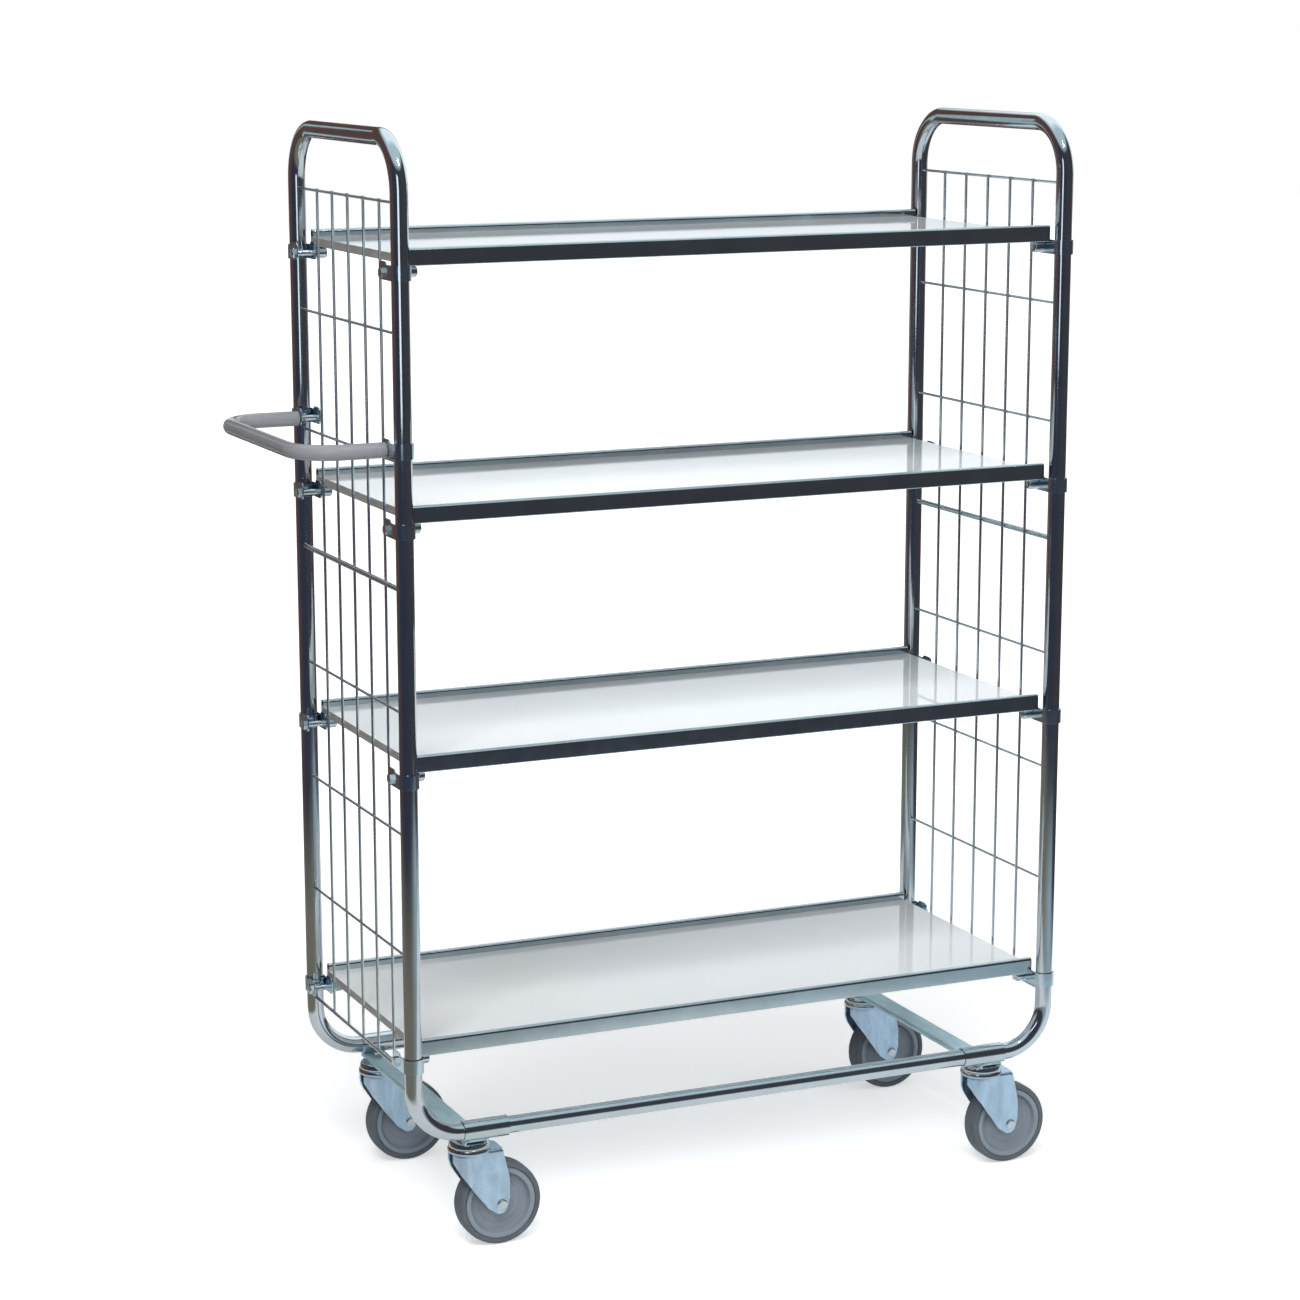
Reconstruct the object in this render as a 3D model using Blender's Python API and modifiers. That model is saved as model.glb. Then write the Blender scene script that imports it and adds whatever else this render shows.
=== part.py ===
"""Shelf trolley with two bent tube hoops, wire end grids, four shelves, a tube handle and four casters.

Metres, +Z up. X runs along the length with the handle at the -X end, Y runs across the width.
The origin lies on the floor under the middle of the trolley's bounding box in X and Y.
"""

import math

import bmesh
import bpy
from mathutils import Matrix, Vector

# Clearance between neighbouring solids, a cutter's overrun past a face, and the weld of loose points
GAP = 0.0003
OVERRUN = 0.002
MERGE = 0.00001

# Overall frame
HEIGHT = 1.590
POST_SPAN_X = 1.025
POST_SPAN_Y = 0.432
TUBE_D = 0.025
TUBE_WALL = 0.0015
TOP_BEND_R = 0.074
LOW_BEND_R = 0.070
TUBE_SIDES = 12
BEND_STEPS = 5

# Sleeves that join the hoops to the base rails, set back from the hoops' low bends
SLEEVE_WALL = 0.00175
SLEEVE_LENGTH = 0.069
SLEEVE_SETBACK = 0.002

# Cross channels under the sleeves
CHANNEL_W = 0.036
CHANNEL_H = 0.007
CHANNEL_T = 0.0025
CHANNEL_OVERHANG = 0.006
CHANNEL_INSET = 0.002
WELD_SINK = 0.0008
WELD_PLATE_L = 0.026
WELD_PLATE_W = 0.014
WELD_PLATE_RISE = 0.002

# Wire grids: rows are counted from the top
WIRE_D = 0.004
ROD_D = 0.008
LOW_ROW_D = 0.005
GRID_ROWS = 8
ROD_ROW = 3
GRID_DROP = 0.098
GRID_LOW_RISE = 0.0877
GRID_UPRIGHTS = 5
UPRIGHT_MARGIN = 0.0852
UPRIGHT_INSET = 0.0021
WIRE_SIDES = 6
UPRIGHT_OVERHANG = 0.0025

# Shelves: heights are those of the rails' undersides, told from the grid's rows
PITCHED_SHELVES = 3
ROWS_PER_SHELF = 2
SHELF_DROP = 0.0843
LOW_SHELF_RISE = 0.0280
SHELF_END_CLEARANCE = 0.0015
BOARD_T = 0.012
BOARD_REBATE = 0.0005
REBATE_MARGIN = 0.0008
RAIL_INSET = 0.009
RAIL_T = 0.001
RAIL_H = 0.0245
RAIL_FLANGE = 0.026
RAIL_CORNER_R = 0.0005
HEM_R = 0.0044
HEM_STEPS = 5

# Clamps
STRAP_T = 0.0018
STRAP_LOW = 0.0095
COLLAR_HIGH = 0.0113
EAR_HIGH = 0.0155
EAR_BEYOND_BOLT = 0.012
EAR_START = 0.0005
EAR_RISE = 0.004
EAR_CORNER_R = 0.006
STRAP_STEPS = 6
BOLT_BEYOND_TUBE = 0.0155
BOLT_D = 0.008
BOLT_SIDES = 6
CORNER_STEPS = 1
HEAD_AF = 0.013
HEAD_T = 0.0053
PIN_D = 0.016
PIN_LENGTH = 0.019
PIN_BEVEL = 0.0018
PIN_STEPS = 10
SADDLE_T = 0.0016
SADDLE_H = 0.018
SADDLE_HALF_ANGLE = math.radians(72)
SADDLE_STEPS = 3

# Handle, whose clamps sit just over the second shelf's row of the grid
HANDLE_D = 0.022
HANDLE_WALL = 0.0015
HANDLE_ROW_CLEARANCE = 0.0053
HANDLE_REACH = 0.1335
HANDLE_BEND_R = 0.060
PLUG_LIP = 0.004
PLUG_OVERLAP = 0.001
HANDLE_BOLT_DEPTH = 0.012

# Casters
WHEEL_D = 0.125
TYRE_W = 0.032
TYRE_SECTION = 0.009
TYRE_CROWN = 0.0016
WHEEL_STEPS = 24
RIM_SIDE_INSET = 0.0010
RIM_RING_W = 0.0085
RIM_DISC_T = 0.012
HUB_D = 0.026
HUB_SIDE_CLEARANCE = 0.0015
TRAIL = 0.0425
WHEEL_CLEARANCE = 0.0192
CUP_D = 0.060
CUP_H = 0.009
CUP_T = 0.0025
CUP_SHOULDER = 0.0035
RACE_D = 0.0635
RACE_OVERHANG = 0.0005
RACE_H = 0.0055
RACE_T = 0.004
PLATE_T = 0.003
CUP_STEPS = 20
KING_SIDES = 10
KING_D = 0.010
KING_AF = 0.016
KING_HEAD_T = 0.006
KING_NUT_T = 0.007
KING_NUT_CLEARANCE = 0.00076
KING_END = 0.002
KING_BORE_CLEARANCE = 0.0006
CHEEK_T = 0.0025
CHEEK_CLEARANCE = 0.0025
CHEEK_FRONT_INSET = 0.00425
FORK_FRONT_GAP = 0.018
FORK_FRONT_STEPS = 3
TAB_BEYOND_AXLE = 0.003
TAB_CORNER_R = 0.007
AXLE_D = 0.008
AXLE_SIDES = 10
AXLE_HEAD_D = 0.0148
AXLE_HEAD_T = 0.003
AXLE_NUT_T = 0.0055
AXLE_NUT_AF = 0.013
SPACER_D = 0.012


def hex_radius(across_flats):
    return across_flats / 2 / math.cos(math.pi / 6)


# Sizes that follow from the ones above: hoops, casters and base
POST_X = POST_SPAN_X / 2
POST_Y = POST_SPAN_Y / 2
TUBE_R = TUBE_D / 2
TOP_AXIS_Z = HEIGHT - TUBE_R
WHEEL_R = WHEEL_D / 2
CHEEK_IN = TYRE_W / 2 + CHEEK_CLEARANCE
CHEEK_OUT = CHEEK_IN + CHEEK_T
FORK_REAR = TRAIL + TAB_BEYOND_AXLE
PLATE_LOW_Z = WHEEL_D + WHEEL_CLEARANCE
PLATE_TOP_Z = PLATE_LOW_Z + PLATE_T
RACE_TOP_Z = PLATE_TOP_Z + RACE_H
CUP_LOW_Z = RACE_TOP_Z + GAP
CASTER_H = CUP_LOW_Z + CUP_H
KING_R = hex_radius(KING_AF)
SLEEVE_BORE_R = (TUBE_R + GAP) / math.cos(math.pi / TUBE_SIDES)
SLEEVE_R = SLEEVE_BORE_R + SLEEVE_WALL
CHANNEL_TOP_Z = CASTER_H + GAP + CHANNEL_H
BASE_Z = CHANNEL_TOP_Z - WELD_SINK + SLEEVE_R
SLEEVE_X = POST_X - LOW_BEND_R - SLEEVE_LENGTH / 2 - SLEEVE_SETBACK
SWIVEL_X = SLEEVE_X + (SLEEVE_LENGTH - CHANNEL_W) / 2 - CHANNEL_INSET
SWIVEL_Y = POST_Y - SLEEVE_R - KING_NUT_CLEARANCE - KING_R

# Grids, shelves, clamps and handle
UPRIGHT_X = POST_X - UPRIGHT_INSET
GRID_TOP_Z = HEIGHT - GRID_DROP
GRID_LOW_Z = BASE_Z + GRID_LOW_RISE
GRID_PITCH = (GRID_TOP_Z - GRID_LOW_Z) / (GRID_ROWS - 1)
ROW_ZS = [GRID_TOP_Z - row * GRID_PITCH for row in range(GRID_ROWS)]
SHELF_ZS = [ROW_ZS[i * ROWS_PER_SHELF] - SHELF_DROP for i in range(PITCHED_SHELVES)]
SHELF_ZS.append(GRID_LOW_Z + LOW_SHELF_RISE)
STRAP_IN_R = (TUBE_R + GAP) / math.cos(math.pi / 2 / STRAP_STEPS)
EAR_OUT = STRAP_IN_R + STRAP_T
SHELF_HALF = POST_X - EAR_OUT - SHELF_END_CLEARANCE
RAIL_Y = POST_Y - RAIL_INSET
BOARD_LOW = RAIL_T + GAP
BOARD_TOP = BOARD_LOW + BOARD_T
BOLT_REACH = TUBE_R + BOLT_BEYOND_TUBE
BOLT_Y = POST_Y - BOLT_REACH
EAR_REACH = BOLT_REACH + EAR_BEYOND_BOLT
HANDLE_Z = ROW_ZS[ROWS_PER_SHELF] + WIRE_D / 2 + HANDLE_ROW_CLEARANCE + STRAP_LOW
HEAD_END_X = POST_X + EAR_OUT - WELD_SINK + HEAD_T
HANDLE_END_X = POST_X + HANDLE_REACH + HANDLE_D / 2
ORIGIN_X = (HANDLE_END_X - HEAD_END_X) / 2

# Colours: base colour, metallic, roughness
LOOKS = {
    "bright_zinc": ((0.60, 0.66, 0.70), 1.0, 0.16),
    "matte_zinc": ((0.50, 0.60, 0.68), 1.0, 0.42),
    "white_laminate": ((0.86, 0.89, 0.89), 0.0, 0.14),
    "grey_coating": ((0.22, 0.23, 0.23), 0.0, 0.34),
    "grey_plastic": ((0.20, 0.22, 0.24), 0.0, 0.42),
    "grey_tyre": ((0.075, 0.080, 0.090), 0.0, 0.62),
}


def clear_scene():
    """Remove what the opened file holds."""
    for obj in list(bpy.data.objects):
        bpy.data.objects.remove(obj, do_unlink=True)


def new_collection(name):
    collection = bpy.data.collections.new(name)
    bpy.context.scene.collection.children.link(collection)
    return collection


def material(name):
    """Principled material from the table of looks."""
    made = bpy.data.materials.get(name)
    if made:
        return made
    colour, metallic, roughness = LOOKS[name]
    made = bpy.data.materials.new(name)
    made.use_nodes = True
    shader = made.node_tree.nodes["Principled BSDF"]
    shader.inputs["Base Color"].default_value = (*colour, 1.0)
    shader.inputs["Metallic"].default_value = metallic
    shader.inputs["Roughness"].default_value = roughness
    made.diffuse_color = (*colour, 1.0)
    return made


clear_scene()
PARTS = new_collection("shelf_trolley")
CUTTERS = new_collection("cutters")
SMOOTH_ANGLE = math.radians(38)


def add_object(name, data, collection=None):
    obj = bpy.data.objects.new(name, data)
    (collection or PARTS).objects.link(obj)
    return obj


def bake(obj):
    """Evaluated mesh of an object in its own frame; the object is removed."""
    bpy.context.view_layer.update()
    graph = bpy.context.evaluated_depsgraph_get()
    mesh = bpy.data.meshes.new_from_object(obj.evaluated_get(graph))
    matrix = obj.matrix_world.copy()
    bpy.data.objects.remove(obj, do_unlink=True)
    bm = bmesh.new()
    bm.from_mesh(mesh)
    bmesh.ops.transform(bm, matrix=matrix, verts=bm.verts)
    bmesh.ops.remove_doubles(bm, verts=bm.verts, dist=MERGE)
    bm.to_mesh(mesh)
    bm.free()
    return mesh


def finish(mesh, look):
    """Give a mesh its material and its shading."""
    mesh.materials.clear()
    mesh.materials.append(material(look))
    mesh.shade_smooth()
    mesh.set_sharp_from_angle(angle=SMOOTH_ANGLE)
    return mesh


def solid(name, mesh, look, location=(0, 0, 0), flips=(1, 1), parent=None):
    """One object from a copy of a mesh, mirrored in X or Y where a flip is -1."""
    made = mesh.copy()
    made.name = name
    made.transform(Matrix.Diagonal((*flips, 1, 1)))
    if flips[0] * flips[1] < 0:
        made.flip_normals()
    obj = add_object(name, finish(made, look))
    obj.location = location
    obj.parent = parent
    return obj


def empty(name, location, parent=None):
    marker = add_object(name, None)
    marker.empty_display_size = TUBE_D
    marker.location = location
    marker.parent = parent
    return marker


def round_bar(points, diameter, sides, wall=0.0):
    """Bar or tube of round section through points, as a POLY curve with a bevel."""
    curve = bpy.data.curves.new("bar", "CURVE")
    curve.dimensions = "3D"
    curve.bevel_depth = diameter / 2
    curve.bevel_resolution = (sides - 4) // 2
    curve.use_fill_caps = wall == 0
    spline = curve.splines.new("POLY")
    spline.points.add(len(points) - 1)
    for point, place in zip(spline.points, points):
        point.co = (*place, 1.0)
    obj = add_object("bar", curve, CUTTERS)
    if wall:
        shell = obj.modifiers.new("wall", "SOLIDIFY")
        shell.thickness = wall
        shell.offset = -1.0
        shell.use_even_offset = True
    return bake(obj)


def arc(centre, start, turn, radius, steps, side, up):
    """Points of an arc in the plane of two unit vectors."""
    places = []
    for i in range(steps + 1):
        angle = start + turn * i / steps
        places.append(centre + radius * (math.cos(angle) * side + math.sin(angle) * up))
    return places


def outline(points, thickness):
    """Flat outline in XY, extruded evenly about Z = 0."""
    curve = bpy.data.curves.new("outline", "CURVE")
    curve.dimensions = "2D"
    curve.fill_mode = "BOTH"
    curve.extrude = thickness / 2
    spline = curve.splines.new("POLY")
    spline.points.add(len(points) - 1)
    for point, (x, y) in zip(spline.points, points):
        point.co = (x, y, 0.0, 1.0)
    spline.use_cyclic_u = True
    return bake(add_object("outline", curve, CUTTERS))


def turned(profile, steps, closed=False):
    """Profile of radius and height, run down its outer side, turned about Z."""
    mesh = bpy.data.meshes.new("turned")
    edges = [(i, i + 1) for i in range(len(profile) - 1)]
    if closed:
        edges.append((len(profile) - 1, 0))
    mesh.from_pydata([(r, 0, z) for r, z in profile], edges, [])
    obj = add_object("turned", mesh, CUTTERS)
    screw = obj.modifiers.new("turn", "SCREW")
    screw.angle = math.tau
    screw.steps = steps
    screw.render_steps = steps
    screw.use_merge_vertices = True
    screw.merge_threshold = MERGE
    return bake(obj)


def sheet(lower, upper, thickness):
    """Strip between two lines of points, with an even wall about it."""
    bm = bmesh.new()
    low = [bm.verts.new(p) for p in lower]
    high = [bm.verts.new(p) for p in upper]
    for i in range(len(low) - 1):
        bm.faces.new((low[i], low[i + 1], high[i + 1], high[i]))
    mesh = bpy.data.meshes.new("sheet")
    bm.to_mesh(mesh)
    bm.free()
    obj = add_object("sheet", mesh, CUTTERS)
    shell = obj.modifiers.new("wall", "SOLIDIFY")
    shell.thickness = thickness
    shell.offset = 0.0
    shell.use_even_offset = True
    return bake(obj)


def prism(sides, radius, length, axis="Z", place=(0, 0, 0)):
    """Right prism or cylinder about an axis through its middle."""
    bm = bmesh.new()
    bmesh.ops.create_cone(
        bm, cap_ends=True, segments=sides, radius1=radius, radius2=radius, depth=length
    )
    swing = {
        "Z": Matrix.Identity(4),
        "X": Matrix.Rotation(math.pi / 2, 4, "Y"),
        "Y": Matrix.Rotation(math.pi / 2, 4, "X"),
    }[axis]
    bmesh.ops.transform(bm, matrix=Matrix.Translation(place) @ swing, verts=bm.verts)
    mesh = bpy.data.meshes.new("prism")
    bm.to_mesh(mesh)
    bm.free()
    return mesh


def merged(meshes):
    """Several meshes as one mesh of separate bodies, ready for a Boolean."""
    bm = bmesh.new()
    for mesh in meshes:
        bm.from_mesh(mesh)
    joined = bpy.data.meshes.new("merged")
    bm.to_mesh(joined)
    bm.free()
    return joined


def block(size, centre):
    bm = bmesh.new()
    bmesh.ops.create_cube(bm, size=1.0)
    bmesh.ops.transform(bm, matrix=Matrix.Diagonal((*size, 1)), verts=bm.verts)
    bmesh.ops.translate(bm, vec=centre, verts=bm.verts)
    mesh = bpy.data.meshes.new("block")
    bm.to_mesh(mesh)
    bm.free()
    return mesh


def combine(mesh, others, operation):
    """Boolean of one mesh with others, one after the other."""
    obj = add_object("target", mesh, CUTTERS)
    helpers = []
    for other in others:
        helper = add_object("cutter", other, CUTTERS)
        helper.hide_render = True
        helper.display_type = "WIRE"
        cut = obj.modifiers.new("cut", "BOOLEAN")
        cut.operation = operation
        cut.solver = "EXACT"
        cut.object = helper
        helpers.append(helper)
    result = bake(obj)
    for helper in helpers:
        bpy.data.objects.remove(helper, do_unlink=True)
    return result


SIDE_X = Vector((1, 0, 0))
SIDE_Y = Vector((0, 1, 0))
UP = Vector((0, 0, 1))
QUARTER = math.pi / 2


def hoop_path(end):
    """Centre line of one end hoop: leg, low bend, post, top bend, bar, and back down."""
    half = []
    tube_end = Vector((end * (SLEEVE_X + GAP), -POST_Y, BASE_Z))
    half.append(tube_end)
    low_centre = Vector((end * (POST_X - LOW_BEND_R), -POST_Y, BASE_Z + LOW_BEND_R))
    half += arc(low_centre, -QUARTER, QUARTER, LOW_BEND_R, BEND_STEPS, end * SIDE_X, UP)
    top_centre = Vector((end * POST_X, -POST_Y + TOP_BEND_R, TOP_AXIS_Z - TOP_BEND_R))
    half += arc(top_centre, 0, QUARTER, TOP_BEND_R, BEND_STEPS, -SIDE_Y, UP)
    other = [Vector((p.x, -p.y, p.z)) for p in reversed(half)]
    return half + other


def build_hoops():
    for name, end in (("left", -1), ("right", 1)):
        mesh = round_bar(hoop_path(end), TUBE_D, TUBE_SIDES, TUBE_WALL)
        solid("end_hoop_" + name, mesh, "bright_zinc")


def build_base():
    """Base rails, and cross channels with the sleeves welded on their ends."""
    for name, side in (("front", -1), ("back", 1)):
        half = SLEEVE_X - GAP
        rail = round_bar([(-half, 0, 0), (half, 0, 0)], TUBE_D, TUBE_SIDES, TUBE_WALL)
        solid("base_rail_" + name, rail, "bright_zinc", (0, side * POST_Y, BASE_Z))
    run = [(-SLEEVE_LENGTH / 2, 0, 0), (SLEEVE_LENGTH / 2, 0, 0)]
    reach = POST_Y + CHANNEL_OVERHANG
    half_w = CHANNEL_W / 2 - CHANNEL_T / 2
    web = CHANNEL_TOP_Z - CHANNEL_T / 2
    low = CHANNEL_TOP_Z - CHANNEL_H
    section = [(-half_w, low), (-half_w, web), (half_w, web), (half_w, low)]
    front = [(x, -reach, z) for x, z in section]
    back = [(x, reach, z) for x, z in section]
    channel = sheet(front, back, CHANNEL_T)
    holes = [
        prism(KING_SIDES, KING_D / 2 + GAP, CHANNEL_H, "Z", (0, side * SWIVEL_Y, web))
        for side in (-1, 1)
    ]
    channel = combine(channel, [merged(holes)], "DIFFERENCE")
    offset = SLEEVE_X - SWIVEL_X
    sleeves = []
    plates = []
    for side in (-1, 1):
        sleeve = round_bar(run, 2 * SLEEVE_R, TUBE_SIDES, SLEEVE_WALL)
        sleeve.transform(Matrix.Translation((offset, side * POST_Y, BASE_Z)))
        sleeves.append(sleeve)
        size = (WELD_PLATE_L, WELD_PLATE_W, WELD_PLATE_RISE)
        middle = CHANNEL_TOP_Z + WELD_PLATE_RISE / 2 - WELD_SINK
        plates.append(block(size, (0, side * POST_Y, middle)))
    frame = combine(channel, [merged(plates), merged(sleeves)], "UNION")
    for name, end in (("left", -1), ("right", 1)):
        solid("cross_channel_" + name, frame, "matte_zinc", (end * SWIVEL_X, 0, 0), (end, 1))


def row_diameter(row):
    if row == ROD_ROW:
        return ROD_D
    if row == GRID_ROWS - 1:
        return LOW_ROW_D
    return WIRE_D


def build_grids():
    """Rows butt the posts; uprights are welded to the rows' inner sides."""
    row_end = POST_Y - TUBE_R - GAP
    rows = []
    for row, z in enumerate(ROW_ZS):
        d = row_diameter(row)
        x = (WIRE_D + d) / 2 - WELD_SINK
        rows.append(round_bar([(x, -row_end, z), (x, row_end, z)], d, WIRE_SIDES))
    outermost = POST_Y - UPRIGHT_MARGIN
    pitch = 2 * outermost / (GRID_UPRIGHTS - 1)
    uprights = []
    for i in range(GRID_UPRIGHTS):
        y = i * pitch - outermost
        ends = [(0, y, GRID_LOW_Z - UPRIGHT_OVERHANG), (0, y, GRID_TOP_Z + UPRIGHT_OVERHANG)]
        uprights.append(round_bar(ends, WIRE_D, WIRE_SIDES))
    grid = combine(merged(rows), [merged(uprights)], "UNION")
    for name, end in (("left", -1), ("right", 1)):
        solid("wire_grid_" + name, grid, "bright_zinc", (end * UPRIGHT_X, 0, 0), (end, 1))


def rail_section():
    """Centre line of the rail's sheet: distance in from its face, height over its underside."""
    mid = RAIL_T / 2
    r = RAIL_CORNER_R
    points = [(RAIL_FLANGE, mid), (mid + r, mid), (mid, mid + r)]
    top = RAIL_H - mid - HEM_R
    for i in range(HEM_STEPS + 1):
        angle = math.pi * (1 - i / HEM_STEPS)
        points.append((mid + HEM_R + HEM_R * math.cos(angle), top + HEM_R * math.sin(angle)))
    points.append((points[-1][0], BOARD_TOP - BOARD_REBATE + GAP))
    return points


def build_shelves():
    """Boards with a shallow rebate along both hems, and the rails that hold their long edges."""
    section = rail_section()
    foot_in = section[-1][0] + RAIL_T / 2 + REBATE_MARGIN
    edge = RAIL_Y - RAIL_T - GAP
    step = RAIL_Y - foot_in
    top_z = BOARD_T / 2
    low_z = -BOARD_T / 2
    rebate_z = top_z - BOARD_REBATE
    half = [(edge, low_z), (edge, rebate_z), (step, rebate_z), (step, top_z)]
    profile = half + [(-y, z) for y, z in reversed(half)]
    board = outline(profile, 2 * SHELF_HALF)
    upright = Matrix.Rotation(QUARTER, 4, "Z") @ Matrix.Rotation(QUARTER, 4, "X")
    board.transform(upright)
    for number, z in enumerate(SHELF_ZS, 1):
        middle = z + BOARD_LOW + BOARD_T / 2
        solid("shelf_board_%d" % number, board, "white_laminate", (0, 0, middle))
    left = [(-SHELF_HALF, RAIL_Y - u, w) for u, w in section]
    right = [(SHELF_HALF, y, w) for _, y, w in left]
    rail = sheet(left, right, RAIL_T)
    for number, z in enumerate(SHELF_ZS, 1):
        for name, side in (("front", -1), ("back", 1)):
            label = "shelf_rail_%s_%d" % (name, number)
            solid(label, rail, "bright_zinc", (0, 0, z), (1, side))


def strap_mesh():
    """Strap round the post with two ears; x to the trolley's middle, y inwards, z up."""
    mid = STRAP_IN_R + STRAP_T / 2
    corner = EAR_CORNER_R
    ear = []
    for i in range(CORNER_STEPS + 1):
        angle = QUARTER * i / CORNER_STEPS
        reach = EAR_REACH - corner + corner * math.cos(angle)
        cut = corner - corner * math.sin(angle)
        ear.append((reach, cut - STRAP_LOW, EAR_HIGH - cut))
    start = TUBE_R + EAR_START
    ear.append((start + EAR_RISE, -STRAP_LOW, EAR_HIGH))
    ear.append((start, -STRAP_LOW, COLLAR_HIGH))
    lower = [(mid, reach, low) for reach, low, _ in ear]
    upper = [(mid, reach, high) for reach, _, high in ear]
    for i in range(STRAP_STEPS + 1):
        angle = math.pi * i / STRAP_STEPS
        x = mid * math.cos(angle)
        y = -mid * math.sin(angle)
        lower.append((x, y, -STRAP_LOW))
        upper.append((x, y, COLLAR_HIGH))
    lower += [(-mid, reach, low) for reach, low, _ in reversed(ear)]
    upper += [(-mid, reach, high) for reach, _, high in reversed(ear)]
    return sheet(upper, lower, STRAP_T)


def saddle_mesh():
    """Curved saddle on the inner side of the tube, its edges pressed into the ears."""
    step = 2 * SADDLE_HALF_ANGLE / SADDLE_STEPS
    radius = (TUBE_R + GAP) / math.cos(step / 2) + SADDLE_T / 2
    lower = []
    upper = []
    for i in range(SADDLE_STEPS + 1):
        angle = -SADDLE_HALF_ANGLE + i * step
        x = radius * math.sin(angle)
        y = radius * math.cos(angle)
        lower.append((x, y, -SADDLE_H / 2))
        upper.append((x, y, SADDLE_H / 2))
    return sheet(lower, upper, SADDLE_T)


def bolt_meshes(head_side, tail):
    """Hex head outside one ear, and a shank along X to a given x."""
    face = head_side * (EAR_OUT - WELD_SINK)
    middle = face + head_side * HEAD_T / 2
    head = prism(6, hex_radius(HEAD_AF), HEAD_T, "X", (middle, BOLT_REACH, 0))
    place = ((tail + middle) / 2, BOLT_REACH, 0)
    shank = prism(BOLT_SIDES, BOLT_D / 2, abs(tail - middle), "X", place)
    return [head, shank]


def pin_mesh():
    """Round support pin on the bolt's end, with a bevelled face."""
    r = PIN_D / 2
    shoulder = PIN_LENGTH - PIN_BEVEL
    profile = [(0, PIN_LENGTH), (r - PIN_BEVEL, PIN_LENGTH), (r, shoulder), (r, 0), (0, 0)]
    mesh = turned(profile, PIN_STEPS)
    place = Matrix.Translation((EAR_OUT - WELD_SINK, BOLT_REACH, 0))
    mesh.transform(place @ Matrix.Rotation(QUARTER, 4, "Y"))
    return mesh


def build_clamps():
    """Clamps on the posts: strap, saddle and bolt drawn tight into one, and the pins on the bolts."""
    strap = strap_mesh()
    saddle = saddle_mesh()
    pin_middle = EAR_OUT + PIN_LENGTH / 2
    clamp = combine(strap, [saddle] + bolt_meshes(-1, pin_middle) + [pin_mesh()], "UNION")
    ends = (("left", -1), ("right", 1))
    sides = (("front", -1), ("back", 1))
    for number, shelf_z in enumerate(SHELF_ZS, 1):
        z = shelf_z - GAP - PIN_D / 2
        for end_name, sx in ends:
            for side_name, sy in sides:
                label = "shelf_clamp_%s_%s_%d" % (side_name, end_name, number)
                solid(label, clamp, "matte_zinc", (sx * POST_X, sy * POST_Y, z), (-sx, -sy))
    tail = -EAR_OUT - PLUG_LIP - HANDLE_BOLT_DEPTH
    handle_clamp = combine(strap_mesh(), [saddle_mesh()] + bolt_meshes(1, tail), "UNION")
    for side_name, sy in sides:
        place = (-POST_X, sy * POST_Y, HANDLE_Z)
        solid("handle_clamp_" + side_name, handle_clamp, "matte_zinc", place, (1, -sy))


def build_handle():
    """U-shaped handle whose legs butt the ears of two clamps through end plugs."""
    root = -POST_X - EAR_OUT - GAP
    leg_start = root - PLUG_LIP + PLUG_OVERLAP
    bar_x = -POST_X - HANDLE_REACH
    half = [Vector((leg_start, -BOLT_Y, HANDLE_Z))]
    centre = Vector((bar_x + HANDLE_BEND_R, -BOLT_Y + HANDLE_BEND_R, HANDLE_Z))
    half += arc(centre, 0, QUARTER, HANDLE_BEND_R, BEND_STEPS, -SIDE_Y, -SIDE_X)
    other = [Vector((p.x, -p.y, p.z)) for p in reversed(half)]
    tube = round_bar(half + other, HANDLE_D, TUBE_SIDES, HANDLE_WALL)
    bore = BOLT_D / 2 + GAP
    rim = HANDLE_D / 2
    profile = [(bore, 0), (rim, 0), (rim, -PLUG_LIP), (bore, -PLUG_LIP)]
    plugs = []
    for side in (-1, 1):
        plug = turned(profile, TUBE_SIDES, closed=True)
        place = Matrix.Translation((root, side * BOLT_Y, HANDLE_Z))
        plug.transform(place @ Matrix.Rotation(QUARTER, 4, "Y"))
        plugs.append(plug)
    solid("handle_bar", combine(tube, [merged(plugs)], "UNION"), "grey_coating")


def cup_mesh():
    """Fixed upper race: a shallow cup, open below."""
    r = CUP_D / 2
    s = CUP_SHOULDER
    t = CUP_T
    profile = [
        (0, CASTER_H),
        (r - s, CASTER_H),
        (r, CASTER_H - s),
        (r, CUP_LOW_Z),
        (r - t, CUP_LOW_Z),
        (r - s, CASTER_H - t),
        (0, CASTER_H - t),
    ]
    return turned(profile, CUP_STEPS)


def head_mesh():
    """Cup with its king bolt, which runs from under the fork's plate to a nut on the channel."""
    bolt_top = PLATE_LOW_Z - GAP
    nut_low = CHANNEL_TOP_Z + GAP
    top = nut_low + KING_NUT_T + KING_END
    low = bolt_top - KING_HEAD_T
    head = prism(6, KING_R, KING_HEAD_T, "Z", (0, 0, bolt_top - KING_HEAD_T / 2))
    nut = prism(6, KING_R, KING_NUT_T, "Z", (0, 0, nut_low + KING_NUT_T / 2))
    inner = low + KING_HEAD_T / 2
    shank = prism(KING_SIDES, KING_D / 2, top - inner, "Z", (0, 0, (top + inner) / 2))
    return combine(cup_mesh(), [shank, head, nut], "UNION")


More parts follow.
